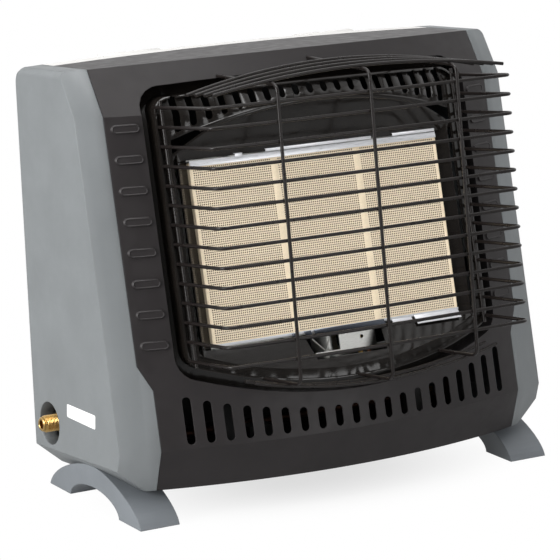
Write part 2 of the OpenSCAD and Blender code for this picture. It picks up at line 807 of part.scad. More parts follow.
module window_bezel() color([0.13, 0.12, 0.13]) lean() {
    difference() {
        union() {
            intersection() {
                through_y(-2 * crease_y, 0) difference() {
                    window_2d(groove);
                    eye_2d(0);
                }
                difference() {
                    body_solid(bezel_depth);
                    body_solid(bezel_depth + bezel_t);
                }
            }
            intersection() {
                through_y(-2 * crease_y, 0) difference() {
                    window_2d(groove);
                    window_2d(groove + lip_w);
                }
                difference() {
                    body_solid(-lip_rise);
                    behind_front(window_return + bezel_t);
                }
            }
            // flange that closes the groove and lies against the panel's return
            intersection() {
                through_y(-2 * crease_y, 0) difference() {
                    window_2d(-panel_t);
                    window_2d(groove + lip_w / 2);
                }
                difference() {
                    body_solid(window_return);
                    body_solid(window_return + bezel_t);
                }
            }
        }
        through_y(-2 * crease_y, 0)
            for (i = [0 : vent_n - 1])
                let (x = (i - (vent_n - 1) / 2) * vent_pitch) slot_2d(x, vent_low(x), vent_high_z, vent_w);
    }
}

burner_rim = 2;
burner_half = plaque_w * 1.5 + plaque_gap + burner_rim;
burner_low = plaque_foot - 4;
burner_high = plaque_foot + plaque_h + 4;
refl_t = 0.8;

bezel_back = bezel_depth + bezel_t;
under_band = 3;                         // how far the reflectors reach behind the bezel's band
refl_flange = 10;

// Bent sheet from the burner's edge at height z to the middle of the bezel's edge at zb in the
// body frame; up is 1 where it bends upwards and -1 where it bends downwards.
module refl_sheet(z, zb, up) {
    b = body_to_face(front_y(0, zb) + bezel_back, zb);
    face_frame() rotate([90, 0, 90]) linear_extrude(height = 2 * eye_half + 20, center = true)
        polygon([
            [plaque_depth + refl_flange, z], [plaque_depth, z], b, b + [refl_t, 0],
            [plaque_depth + refl_t, z + up * refl_t], [plaque_depth + refl_flange, z + up * refl_t]]);
}

module reflector_top() color([0.1, 0.1, 0.1]) lean() intersection() {
    refl_sheet(burner_high, arch_z + under_band, 1);
    through_y(-2 * crease_y, 0) eye_2d(under_band);
    behind_front(bezel_back);
}

module reflector_bottom() color([0.1, 0.1, 0.1]) lean() difference() {
    a = face_to_body(plaque_depth, burner_low);
    intersection() {
        refl_sheet(burner_low, eye_low_c - eye_low_r - under_band, -1);
        through_y(-2 * crease_y, 0) eye_2d(under_band);
        behind_front(bezel_back);
    }
    // notch in front of the pilot
    through_y(-2 * crease_y, 0) polygon([
        [-38, a[1] + 5], [-34, a[1] - 20], [40, a[1] - 20], [46, a[1] + 5]]);
}

// Room beyond such a sheet, which the side sheets keep out of.
module beyond_sheet(z, zb, up) {
    b = body_to_face(front_y(0, zb) + bezel_back, zb);
    face_frame() rotate([90, 0, 90]) linear_extrude(height = reach, center = true)
        polygon([
            [2 * plaque_depth, z], [plaque_depth, z], b, [b[0] - plaque_depth, b[1]],
            [b[0] - plaque_depth, z + up * reach / 2], [2 * plaque_depth, z + up * reach / 2]]);
}

// Side sheet: a leaf beside the burner and one forward to the back of the bezel's band.
module side_reflector() {
    mouth = plaque_depth + plaque_t;
    difference() {
        intersection() {
            face_frame() translate([0, 0, burner_low - 20])
                linear_extrude(height = burner_high - burner_low + 30) polygon([
                    [burner_half, mouth + 10], [burner_half, mouth - 8],
                    [eye_half + under_band, plaque_depth - 8],
                    [eye_half + under_band + refl_t, plaque_depth - 8],
                    [burner_half + refl_t, mouth - 8 + refl_t], [burner_half + refl_t, mouth + 10]]);
            behind_front(bezel_back);
            through_y(-reach / 2, reach / 2) eye_2d(under_band + refl_t);
        }
        beyond_sheet(burner_high, arch_z + under_band, 1);
        beyond_sheet(burner_low, eye_low_c - eye_low_r - under_band, -1);
    }
}
module reflector_right() color([0.12, 0.12, 0.12]) lean() side_reflector();
module reflector_left() color([0.12, 0.12, 0.12]) lean() mirror([1, 0, 0]) side_reflector();

// ---- Burner ----

module burner_box() color([0.55, 0.56, 0.57]) lean() face_frame() {
    y0 = plaque_depth + plaque_t;
    difference() {
        translate([-burner_half, y0, burner_low])
            cube([2 * burner_half, box_depth, burner_high - burner_low]);
        translate([-burner_half + box_t, y0 - 1, burner_low + box_t])
            cube([2 * (burner_half - box_t), box_depth + 1 - box_t, burner_high - burner_low - 2 * box_t]);
        translate([0, y0 + box_depth / 2, burner_low - 1]) cylinder(d = mixer_d, h = 10);
    }
}

module plaque(i) {
    face_frame() translate([i * (plaque_w + plaque_gap) - plaque_w / 2, plaque_depth, plaque_foot])
        cube([plaque_w, plaque_t, plaque_h]);
}
module plaque_left() color([0.88, 0.8, 0.68]) lean() plaque(-1);
module plaque_centre() color([0.88, 0.8, 0.68]) lean() plaque(0);
module plaque_right() color([0.88, 0.8, 0.68]) lean() plaque(1);

// Cement joints and rim that hold the three plaques in the mouth of the burner box.
module plaque_frame() color([0.8, 0.8, 0.8]) lean() face_frame() {
    difference() {
        translate([-burner_half, plaque_depth - box_t, burner_low])
            cube([2 * burner_half, plaque_t + box_t, burner_high - burner_low]);
        for (i = [-1 : 1])
            translate([i * (plaque_w + plaque_gap) - plaque_w / 2, plaque_depth, plaque_foot])
                cube([plaque_w, plaque_t + 1, plaque_h]);
        translate([-burner_half + burner_rim + 1, 0, plaque_foot + 2])
            cube([2 * (burner_half - burner_rim - 1), plaque_depth + 1.2, plaque_h - 4]);
    }
}

// Bent tube: mouth on the right, elbow up into the box.
mixer_y = plaque_depth + plaque_t + box_depth / 2;
mixer_drop = 30;
mixer_mouth = 112;
module mixing_tube() color([0.6, 0.6, 0.61]) lean() face_frame() {
    z = burner_low - mixer_drop;
    bend = mixer_d * 0.8;
    difference() {
        union() {
            translate([bend, mixer_y, z]) rotate([0, 90, 0]) cylinder(d = mixer_d, h = mixer_mouth - bend);
            translate([0, mixer_y, z + bend]) cylinder(d = mixer_d, h = mixer_drop - bend + 3);
            translate([bend, mixer_y, z + bend]) rotate([90, 0, 0]) rotate([0, 0, 180])
                rotate_extrude(angle = 90) translate([bend, 0]) circle(d = mixer_d);
            translate([mixer_mouth - 6, mixer_y, z]) rotate([0, 90, 0]) cylinder(d = mixer_d + 6, h = 6);
        }
        translate([bend, mixer_y, z]) rotate([0, 90, 0])
            cylinder(d = mixer_d - 3, h = mixer_mouth);
        translate([0, mixer_y, z + bend]) cylinder(d = mixer_d - 3, h = mixer_drop);
        translate([bend, mixer_y, z + bend]) rotate([90, 0, 0]) rotate([0, 0, 180])
            rotate_extrude(angle = 90) translate([bend, 0]) circle(d = mixer_d - 3);
    }
}

module gas_jet() color([0.75, 0.6, 0.3]) lean() face_frame()
    translate([mixer_mouth + 4, mixer_y, burner_low - mixer_drop]) rotate([0, 90, 0]) {
        cylinder(d = 6, h = 8);
        translate([0, 0, 8]) cylinder(d = 11, h = 8, $fn = 6);
        translate([0, 0, 16]) cylinder(d = 8, h = 8);
    }

// Two channels that carry the burner box from the rear of the bezel.
module burner_brackets() color([0.5, 0.5, 0.52]) lean() difference() {
    face_frame() for (s = [-1, 1])
        translate([s * (burner_half - 30) - 9, plaque_depth + plaque_t + box_depth, -crease_low_z])
            difference() {
                cube([18, 10, burner_high + crease_low_z]);
                translate([1.5, 1.5, -1]) cube([15, 10, burner_high + crease_low_z + 2]);
            }
    translate([-reach / 2, -reach / 2, under_z + tray_t - reach]) cube(reach);
}

// ---- Pilot ----

plate_y = plaque_depth + 8;
pilot_y = plate_y + 5.4;
shelf_t = 1.2;
shelf_z = burner_low - 19;
shelf_d = 9;
plate_x0 = 4;
plate_x1 = 43;
pilot_x = 28;
spark_x = -8;
couple_x = 37;
pilot_d = 5;
couple_d = 4;
below_shelf = 10;                       // how far the pilot's pieces reach below their shelf
module pilot_bracket() color([0.75, 0.76, 0.78]) lean() face_frame() {
    difference() {
        union() {
            translate([plate_x0, plate_y, shelf_z]) cube([plate_x1 - plate_x0, shelf_t, burner_low - shelf_z]);
            translate([spark_x - 14, plate_y, shelf_z]) cube([plate_x1 - spark_x + 14, shelf_d, shelf_t]);
        }
        translate([pilot_x, plate_y - 1, burner_low - 9]) rotate([-90, 0, 0]) cylinder(d = 3.5, h = 4);
        for (x = [spark_x, pilot_x]) translate([x, pilot_y, shelf_z - 1]) cylinder(d = pilot_d, h = 4);
        translate([couple_x, pilot_y, shelf_z - 1]) cylinder(d = couple_d, h = 4);
    }
}
module pilot_burner() color([0.7, 0.6, 0.35]) lean() face_frame()
    translate([pilot_x, pilot_y, shelf_z - below_shelf]) {
        cylinder(d = pilot_d, h = 26);
        translate([0, 0, below_shelf + shelf_t]) cylinder(d = 9, h = 4, $fn = 6);
    }
module spark_electrode() color([0.9, 0.9, 0.88]) lean() face_frame()
    translate([spark_x, pilot_y, shelf_z - below_shelf]) {
        stub = below_shelf + shelf_t + 1;
        cylinder(d = pilot_d, h = stub);
        // the two wires of the gap, in a V
        for (leg = [[-46, 18.5], [23, 13.5]])
            translate([0, 0, stub - 1]) rotate([0, leg[0], 0]) cylinder(d = 1.2, h = leg[1], $fn = 12);
    }
module thermocouple() color([0.7, 0.45, 0.3]) lean() face_frame()
    translate([couple_x, pilot_y, shelf_z - below_shelf]) {
        cylinder(d = couple_d, h = 24);
        translate([0, 0, 24]) sphere(d = couple_d);
    }

// ---- Gas train ----

bracket_x = -(seam_low_x - tray_t - 1);  // just inside the tray's end lip
neck_d = inlet_d - 2;
module inlet_bracket() color([0.55, 0.56, 0.57]) lean() {
    top = inlet_z + 22;
    difference() {
        union() {
            translate([bracket_x, inlet_y - 20, under_z + tray_t]) cube([2, 40, top - under_z - tray_t]);
            translate([bracket_x, inlet_y - 20, under_z + tray_t]) cube([24, 40, 1.6]);
        }
        translate([bracket_x - 1, inlet_y, inlet_z]) rotate([0, 90, 0]) cylinder(d = neck_d, h = 4);
    }
}

// Hose end with its thread drawn plain, a hexagon to hold it by, a body and a neck through the bracket.
inlet_end = half_w + inlet_proud;
thread_start = 2.5;
module inlet_fitting() color([0.8, 0.62, 0.25]) lean()
    translate([-inlet_end, inlet_y, inlet_z]) rotate([0, 90, 0]) difference() {
        to_bracket = inlet_end + bracket_x;
        union() {
            cylinder(d = inlet_d - 3, h = thread_start + 1);
            translate([0, 0, thread_start]) cylinder(d = inlet_d, h = thread_len);
            translate([0, 0, thread_start + thread_len]) cylinder(d = 23, h = 9, $fn = 6);
            translate([0, 0, thread_start + thread_len + 9])
                cylinder(d = 19, h = to_bracket - thread_start - thread_len - 9);
            translate([0, 0, to_bracket - 1]) cylinder(d = neck_d, h = 9);
        }
        translate([0, 0, -1]) cylinder(d = inlet_bore, h = thread_len);
        translate([0, 0, 1]) cylinder(d = pipe_d - 2, h = inlet_end);
    }

module inlet_nut() color([0.8, 0.62, 0.25]) lean()
    translate([bracket_x + 2, inlet_y, inlet_z]) rotate([0, 90, 0]) difference() {
        cylinder(d = 22, h = 5, $fn = 6);
        translate([0, 0, -1]) cylinder(d = neck_d, h = 7);
    }

valve_len = 40;
valve_bore_r = 9;
valve_half = 16;
valve_x1 = half_w - recess_depth - cap_t;
valve_x0 = valve_x1 - valve_len;
valve_port_x = valve_x0 + 12;
supply_z = under_z + tray_t + 12;
supply_x0 = bracket_x + 10;
elbow = 14;
module supply_pipe() color([0.72, 0.42, 0.28]) lean()
    translate([0, inlet_y, 0]) rotate([90, 0, 0])
        wire([[supply_x0 - 2, inlet_z], [supply_x0 + 26, inlet_z], [supply_x0 + 26, supply_z],
              [valve_port_x - elbow / 2, supply_z]], 10, pipe_d / 2);
module pipe_elbow() color([0.8, 0.62, 0.25]) lean()
    translate([valve_port_x, inlet_y, supply_z]) cube(elbow, center = true);
module valve_pipe() color([0.72, 0.42, 0.28]) lean()
    translate([valve_port_x, 0, 0]) rotate([90, 0, 90])
        wire([[inlet_y - elbow / 2, supply_z], [knob_y, supply_z], [knob_y, knob_z - valve_half]], 10, pipe_d / 2);

module gas_valve() color([0.7, 0.7, 0.72]) lean() {
    translate([valve_x0, knob_y, knob_z]) rotate([0, 90, 0]) difference() {
        union() {
            cylinder(r = valve_half, h = valve_len);
            translate([-valve_half, -valve_half, 4]) cube([2 * valve_half, 2 * valve_half, 16]);
        }
        translate([0, 0, valve_len - 26]) cylinder(r = valve_bore_r, h = 40);
        translate([0, 0, valve_len - 34]) cylinder(r = spindle_d / 2 + fit, h = 40);
    }
}

spring_x0 = valve_x1 - 26;
collar_x0 = valve_x1 - 12;
spring_turns = 5;
spring_mean = valve_bore_r - 2.2;
spring_wire = 1.2;
module valve_spring() color([0.75, 0.75, 0.78]) lean()
    translate([spring_x0 + 0.2, knob_y, knob_z]) rotate([0, 90, 0]) coil(
        spring_turns, collar_x0 - spring_x0 - 0.4 - spring_wire, spring_mean, spring_wire / 2);

// Helical spring standing on z = 0.
module coil(turns, rise, mean_r, r) {
    steps = turns * 14;
    sweep([for (i = [0 : steps]) let (a = 360 * turns * i / steps, z = r + rise * i / steps)
        for (j = [0 : SIDES - 1]) let (b = 360 * j / SIDES, q = mean_r + r * cos(b))
            [q * cos(a), q * sin(a), z + r * sin(b)]], steps);
}

module spring_collar() color([0.6, 0.6, 0.62]) lean()
    translate([collar_x0, knob_y, knob_z]) rotate([0, 90, 0]) difference() {
        cylinder(r = valve_bore_r - fit, h = 5);
        translate([0, 0, -1]) cylinder(r = spindle_d / 2 + fit, h = 7);
    }

knob_out = half_w + knob_proud;
module valve_spindle() color([0.78, 0.62, 0.3]) lean()
    translate([valve_x1 - 26, knob_y, knob_z]) rotate([0, 90, 0]) {
        cylinder(r = spindle_d / 2, h = knob_out - 8 - (valve_x1 - 26));
        translate([0, 0, 14 + 5 + fit]) cylinder(r = spindle_d / 2 + 2, h = 2);
    }

module control_knob() color([0.1, 0.1, 0.1]) lean()
    translate([half_w - recess_depth + push_travel + 1, knob_y, knob_z]) rotate([0, 90, 0]) {
        h = recess_depth + knob_proud - push_travel - 1;
        difference() {
            union() {
                cylinder(r1 = knob_d / 2, r2 = knob_d / 2 - 1.5, h = h - 8);
                intersection() {
                    translate([-5, -knob_d / 2 + 2, 0]) cube([10, knob_d - 4, h]);
                    cylinder(r = knob_d / 2 - 2, h = h);
                }
            }
            translate([0, 0, -1]) cylinder(r = spindle_d / 2, h = h - 7);
        }
    }

igniter_len = 33.5;
igniter_x0 = half_w - recess_depth - cap_t - igniter_len;
igniter_bore_at = 12;
shaft_r = button_d / 2 - 1;
module igniter_body() color([0.12, 0.12, 0.12]) lean()
    translate([igniter_x0, button_y, button_z]) rotate([0, 90, 0]) difference() {
        union() {
            cylinder(d = button_d + 2, h = igniter_len);
            translate([0, 0, igniter_len - 3.5]) cylinder(d = button_d + 7, h = 3.5);
        }
        translate([0, 0, igniter_bore_at]) cylinder(r = shaft_r + fit, h = igniter_len);
    }

button_x0 = igniter_x0 + igniter_bore_at + button_travel + 1;
module igniter_button() color([0.7, 0.1, 0.08]) lean()
    translate([button_x0, button_y, button_z]) rotate([0, 90, 0])
        cylinder(r = shaft_r, h = half_w + button_travel - button_x0);

jet_end = mixer_mouth + 28;
jet_at = face_to_body(mixer_y, burner_low - mixer_drop);
module burner_pipe() color([0.72, 0.42, 0.28]) lean() {
    translate([0, 0, jet_at[1]])
        wire([[jet_end, jet_at[0]], [valve_port_x, jet_at[0]], [valve_port_x, knob_y - valve_half]], 12, pipe_d / 2);
}

module tilt_switch() color([0.15, 0.15, 0.16]) lean()
    translate([-40, 36, under_z + tray_t]) {
        cube([26, 20, 18]);
        translate([-6, 4, 0]) cube([38, 12, 2]);
    }

// ---- Guard ----

// Y in the guard's frame at which a wire at x and height z has sunk into the surface that lies
// off behind the front.
function meets(x, z, off) =
    let (near = guard_to_body(90, z),
         y1 = guard_depth(front_y(x, near[1]) + off + weld, z),
         again = guard_to_body(y1, z))
    guard_depth(front_y(x, again[1]) + off + weld, z);
function guard_depth(y, z) = (y + guard_y - z * sin(guard_lean)) / cos(guard_lean);
function leg_end(i) = meets(hoop_half, -i * hoop_pitch, bezel_depth);

module guard_hoops() color([0.16, 0.15, 0.16]) lean() guard_frame() {
    for (i = [0 : hoop_n - 1])
        translate([0, 0, -i * hoop_pitch]) hoop(hoop_half, hoop_bow, hoop_corner, leg_end(i), wire_r);
}

// Rod with blunt ends at x = ±tip, bowed towards -Y by bow over a span of ±half.
module cross_rod(half, bow, tip, r) {
    tube([for (i = [0 : 12]) let (x = tip * (i / 6 - 1)) [x, bow_at(x, half, bow)]], r);
}

top_arc_pitch = 16;
top_arc_first = 3;
top_arc_end = 10.5;                     // height of the arcs' ends above the top hoop
module guard_top_arcs() color([0.16, 0.15, 0.16]) lean() guard_frame() {
    for (i = [0 : top_arc_n - 1])
        translate([0, top_arc_first + i * top_arc_pitch, top_arc_end]) rotate([-90, 0, 0])
            cross_rod(top_tip, top_bow + i * top_bow_step, top_tip, wire_r);
}

bottom_arc_pitch = 18;
bottom_arc_first = 12;
module guard_bottom_arcs() color([0.16, 0.15, 0.16]) lean() guard_frame() {
    for (i = [0 : bottom_arc_n - 1])
        translate([0, bottom_arc_first + i * bottom_arc_pitch, low_row - bottom_drop + bottom_bow])
            rotate([90, 0, 0]) cross_rod(top_tip, bottom_bow, bottom_tip, wire_r);
}

// Height of the uprights' upper returns, which lie under the top arcs and rise with them.
function arc_z(x, i) = top_arc_end - bow_at(x, top_tip, top_bow + i * top_bow_step) - over;
function return_z(x, y) =
    let (rise = (arc_z(x, top_arc_n - 1) - arc_z(x, 0)) / ((top_arc_n - 1) * top_arc_pitch))
    arc_z(x, 0) + rise * (y - top_arc_first);

module guard_uprights() color([0.16, 0.15, 0.16]) lean() guard_frame() {
    for (x = [-upright_x, 0, upright_x]) {
        front = bow_at(x, hoop_half, hoop_bow) - over;
        back = meets(x, return_z(x, meets(x, arc_z(x, 0), 0)), 0);
        low = low_row - bottom_drop + bottom_bow + bow_at(x, top_tip, bottom_bow) + over;
        translate([x, 0, 0]) rotate([90, 0, 90])
            tube(bend_path([[back, return_z(x, back)], [front, return_z(x, front)], [front, low],
                            [meets(x, low, bezel_depth), low]], upright_bend), wire_r);
    }
}

post_back = 8;                          // distance of the side posts in front of the legs' ends
post_over = 6;
module guard_side_posts() color([0.16, 0.15, 0.16]) lean() guard_frame() {
    for (s = [-1, 1])
        translate([s * (hoop_half - over), 0, 0]) rotate([90, 0, 90])
            wire([[leg_end(0) - post_back, post_over],
                  [leg_end(hoop_n - 1) - post_back, low_row - post_over]], upright_bend, wire_r);
}

// ---- Handle ----

arm_t = 8;
arm_w = 12;
module handle_brackets() color([0.72, 0.73, 0.74]) lean() {
    for (s = [-1, 1]) translate([s * handle_w / 2, 0, 0]) difference() {
        intersection() {
            translate([-bracket_w / 2, rear_face_y(handle_z) - 24, handle_z - 16])
                cube([bracket_w, 42, 34]);
            translate([0, handle_y - 6, handle_z - 2]) rotate([0, 90, 0])
                cylinder(r = 20, h = bracket_w, center = true);
        }
        body_solid(0);
        translate([-arm_t / 2 - 0.6, handle_y - 8.5, handle_z - 40]) cube([arm_t + 1.2, 60, 80]);
        translate([0, handle_y, handle_z]) rotate([0, 90, 0])
            cylinder(d = handle_pin_d, h = bracket_w + 2, center = true);
    }
}

module handle_pins() color([0.7, 0.7, 0.72]) lean() {
    for (s = [-1, 1]) translate([s * handle_w / 2, handle_y, handle_z]) rotate([0, 90, 0])
        cylinder(d = handle_pin_d, h = bracket_w - 4, center = true);
}

module carry_handle() color([0.2, 0.2, 0.21]) lean() {
    for (s = [-1, 1]) translate([s * handle_w / 2, handle_y, handle_z]) difference() {
        union() {
            rotate([0, 90, 0]) cylinder(d = arm_w, h = arm_t, center = true);
            translate([-arm_t / 2, -arm_w / 2, -handle_arm]) cube([arm_t, arm_w, handle_arm]);
            translate([0, 0, -handle_arm]) rotate([0, 90, 0]) cylinder(d = arm_w, h = arm_t, center = true);
        }
        rotate([0, 90, 0]) cylinder(r = handle_pin_d / 2 + fit, h = 2 * arm_t, center = true);
    }
    translate([0, handle_y, handle_z - handle_arm]) rotate([0, 90, 0])
        cylinder(d = 9, h = handle_w - arm_t, center = true);
}

module handle_grip() color([0.1, 0.1, 0.1]) lean()
    translate([0, handle_y, handle_z - handle_arm]) rotate([0, 90, 0]) difference() {
        cylinder(d = grip_d, h = handle_w - arm_t - 30, center = true);
        cylinder(d = 9, h = handle_w, center = true);
    }

front_panel();
left_end_cap();
right_end_cap();
rear_cover();
base_tray();
case_screws();
left_foot();
right_foot();
foot_pads();
foot_screws();
window_bezel();
reflector_top();
reflector_bottom();
reflector_left();
reflector_right();
burner_box();
plaque_left();
plaque_centre();
plaque_right();
plaque_frame();
mixing_tube();
gas_jet();
burner_brackets();
pilot_bracket();
pilot_burner();
spark_electrode();
thermocouple();
inlet_bracket();
inlet_fitting();
inlet_nut();
supply_pipe();
pipe_elbow();
valve_pipe();
gas_valve();
valve_spring();
spring_collar();
valve_spindle();
control_knob();
igniter_body();
igniter_button();
burner_pipe();
tilt_switch();
guard_hoops();
guard_top_arcs();
guard_bottom_arcs();
guard_uprights();
guard_side_posts();
handle_brackets();
handle_pins();
carry_handle();
handle_grip();
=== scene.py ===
"""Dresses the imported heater: finishes on every sheet and moulding, smooth guard wires, perforated
plaques with their bright rim, a cut thread on the gas inlet, pressed pads, and the studio around it."""

import json
import math
from random import Random

import bmesh
import bpy
from bpy.props import FloatProperty, FloatVectorProperty, IntProperty, PointerProperty
from mathutils import Matrix, Vector
from mathutils.bvhtree import BVHTree


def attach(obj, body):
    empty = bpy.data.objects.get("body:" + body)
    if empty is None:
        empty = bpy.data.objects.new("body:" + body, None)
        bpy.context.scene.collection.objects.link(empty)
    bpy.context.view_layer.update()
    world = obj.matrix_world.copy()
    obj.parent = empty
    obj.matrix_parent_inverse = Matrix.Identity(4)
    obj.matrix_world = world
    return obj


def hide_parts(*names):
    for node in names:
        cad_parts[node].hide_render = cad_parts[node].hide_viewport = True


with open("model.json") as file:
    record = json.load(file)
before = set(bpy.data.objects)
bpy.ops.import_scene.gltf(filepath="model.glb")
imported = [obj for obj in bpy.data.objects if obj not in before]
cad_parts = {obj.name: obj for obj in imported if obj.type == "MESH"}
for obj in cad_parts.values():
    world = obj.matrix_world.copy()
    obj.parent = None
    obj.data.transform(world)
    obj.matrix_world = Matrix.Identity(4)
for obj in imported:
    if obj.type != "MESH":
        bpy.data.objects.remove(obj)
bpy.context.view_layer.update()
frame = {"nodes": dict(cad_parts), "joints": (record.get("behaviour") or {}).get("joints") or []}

bl_info = {
    "name": "Radiant Heater Dressing",
    "version": (1, 0, 0),
    "blender": (4, 5, 0),
    "location": "View3D > Sidebar > Heater",
    "description": "Finishes, wires and small parts for a radiant gas heater",
    "category": "Object",
}

MM = 0.001
ROOT = "heater"

# Driving sizes of the body, in millimetres and degrees, as in the part's own source.
BODY_LEAN = 4.15
CREASE_Y, CREASE_LOW_Z = 110.3, 68.4
TILT_FACE = 9.1
CAP_X = 224.9
REAR_Y, CAP_EDGE_Z, REAR_TILT = 111.5, 52.0, 1.4
HANDLE_Z, HANDLE_ARM, GRIP_D, GRIP_GAP = 389.0, 46.0, 15.0, 0.6
IN_FRONT = -200.0  # a plane in front of the whole body, from which rays are cast backwards


# ---- frames


def tilt_x(degrees):
    """Turn about X that leans the top backwards."""
    return Matrix.Rotation(math.radians(-degrees), 4, "X")


def body_frame():
    """Body frame in millimetres to the row frame in metres, set on the handle's pivot."""
    pivot = Vector(next(j["pos_m"] for j in frame["joints"] if j["name"] == "handle_swing"))
    grip_z = HANDLE_Z - HANDLE_ARM
    rear = REAR_Y - (grip_z - CAP_EDGE_Z) * math.tan(math.radians(REAR_TILT))
    handle_y = rear + GRIP_D / 2 + GRIP_GAP
    turn = tilt_x(BODY_LEAN)
    origin = pivot - turn @ Vector((0, handle_y, HANDLE_Z)) * MM
    return Matrix.Translation(origin) @ turn @ Matrix.Scale(MM, 4)


BODY = body_frame()
BACKWARDS = (BODY.to_3x3() @ Vector((0, 1, 0))).normalized()
FACE = BODY @ Matrix.Translation((0, -CREASE_Y, CREASE_LOW_Z)) @ tilt_x(TILT_FACE)


def guard_frame(sizes):
    """Guard frame: its front plane stands upright, with the top hoop's corners at the origin."""
    return BODY @ Matrix.Translation((0, -sizes.guard_y, sizes.guard_z)) @ tilt_x(sizes.guard_lean)


# ---- small tools

# Degrees from which an edge is shaded sharp, bevelled on a CAD piece, or softened on a new one.
SHARP_ANGLE, BEVEL_ANGLE, SOFT_ANGLE = 34, 32, 30
WELD_GAP = 0.00002  # metres within which a CAD piece's points are joined before its bevel


def new_object(name, mesh, nodes=()):
    """Puts a mesh in the scene, rides it on the heater and hides what it stands for."""
    obj = bpy.data.objects.new(name, mesh)
    bpy.context.scene.collection.objects.link(obj)
    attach(obj, ROOT)
    if nodes:
        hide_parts(*nodes)
    return obj


def mesh_object(name, bm, nodes=()):
    """Turns a bmesh into a piece that is shaded smooth up to its sharp edges."""
    bmesh.ops.recalc_face_normals(bm, faces=bm.faces)
    mesh = bpy.data.meshes.new(name)
    bm.to_mesh(mesh)
    bm.free()
    mesh.shade_smooth()
    mesh.set_sharp_from_angle(angle=math.radians(SHARP_ANGLE))
    return new_object(name, mesh, nodes)


def wire_object(name, paths, radius, nodes=()):
    """Round wires along paths of row-frame points, as one mesh with flat capped ends."""
    curve = bpy.data.curves.new(name + "_path", "CURVE")
    curve.dimensions = "3D"
    curve.bevel_depth = radius
    curve.bevel_resolution = 3
    curve.use_fill_caps = True
    for path in paths:
        spline = curve.splines.new("POLY")
        spline.points.add(len(path) - 1)
        for point, place in zip(spline.points, path):
            point.co = (*place, 1)
    drawn = bpy.data.objects.new(name + "_path", curve)
    mesh = bpy.data.meshes.new_from_object(drawn)
    mesh.name = name
    mesh.shade_smooth()
    bpy.data.objects.remove(drawn)
    bpy.data.curves.remove(curve)
    return new_object(name, mesh, nodes)


def walls(bm, low, high):
    """Joins two rings of vertices with faces."""
    for k in range(len(low)):
        m = (k + 1) % len(low)
        bm.faces.new((low[k], low[m], high[m], high[k]))


def bent_sheet(bm, profile, x0, x1, thick):
    """Adds a sheet bent along a profile of (y, z) points, from x0 to x1."""
    points = [Vector(p) for p in profile]
    sides = [(b - a).normalized() for a, b in zip(points, points[1:])]
    sides = [sides[0]] + [(a + b).normalized() for a, b in zip(sides, sides[1:])] + [sides[-1]]
    inner = [p + Vector((-u.y, u.x)) * thick for p, u in zip(points, sides)]
    loop = points + inner[::-1]
    ends = [[bm.verts.new((x, y, z)) for y, z in loop] for x in (x0, x1)]
    walls(bm, *ends)
    last = len(loop) - 1
    for end in ends:
        for k in range(len(points) - 1):
            bm.faces.new((end[k], end[k + 1], end[last - k - 1], end[last - k]))


def plate(bm, outline, low, high):
    """Adds a plate with an (x, y) outline between two heights."""
    ends = [[bm.verts.new((x, y, z)) for x, y in outline] for z in (low, high)]
    walls(bm, *ends)
    for end in ends:
        bm.faces.new(end)


def soften(bm, width):
    """Rounds every sharp edge."""
    bmesh.ops.recalc_face_normals(bm, faces=bm.faces)
    limit = math.radians(SOFT_ANGLE)
    sharp = [e for e in bm.edges if len(e.link_faces) == 2 and e.calc_face_angle() > limit]
    bmesh.ops.bevel(bm, geom=sharp, offset=width, segments=2, profile=0.5, affect="EDGES")


def skin(bm, rings, closed=True):
    """Joins rings of points that follow each other, with a face over each end if closed."""
    rows = [[bm.verts.new(p) for p in ring] for ring in rings]
    for a, b in zip(rows, rows[1:]):
        walls(bm, a, b)
    if closed:
        bm.faces.new(rows[0])
        bm.faces.new(rows[-1])
    return rows


def surface_of(obj):
    """Tree of a CAD piece's faces, to lay other pieces on."""
    return BVHTree.FromPolygons(
        [v.co for v in obj.data.vertices], [f.vertices for f in obj.data.polygons])


def on_front(surface, x, z):
    """The point of a surface that is seen at x and z of the body frame from in front."""
    return surface.ray_cast(BODY @ Vector((x, IN_FRONT, z)), BACKWARDS)[0]


def dress(obj, material):
    """Gives a piece its material in every slot."""
    slots = obj.data.materials
    if not slots:
        slots.append(material)
    for i in range(len(slots)):
        slots[i] = material


def round_edges(obj, width):
    """Small rounded edges on a CAD piece, added as modifiers."""
    weld = obj.modifiers.new("weld", "WELD")
    weld.merge_threshold = WELD_GAP
    bevel = obj.modifiers.new("edges", "BEVEL")
    bevel.width = width
    bevel.segments = 2
    bevel.limit_method = "ANGLE"
    bevel.angle_limit = math.radians(BEVEL_ANGLE)
    bevel.harden_normals = True
    bevel.use_clamp_overlap = True


# ---- materials

# Depth of the coat's grain, and the radii over which sharp edges are shaded as rounded, in metres.
COAT_GRAIN = 0.00007
COATED_EDGE, MOULDED_EDGE = 0.0008, 0.0014


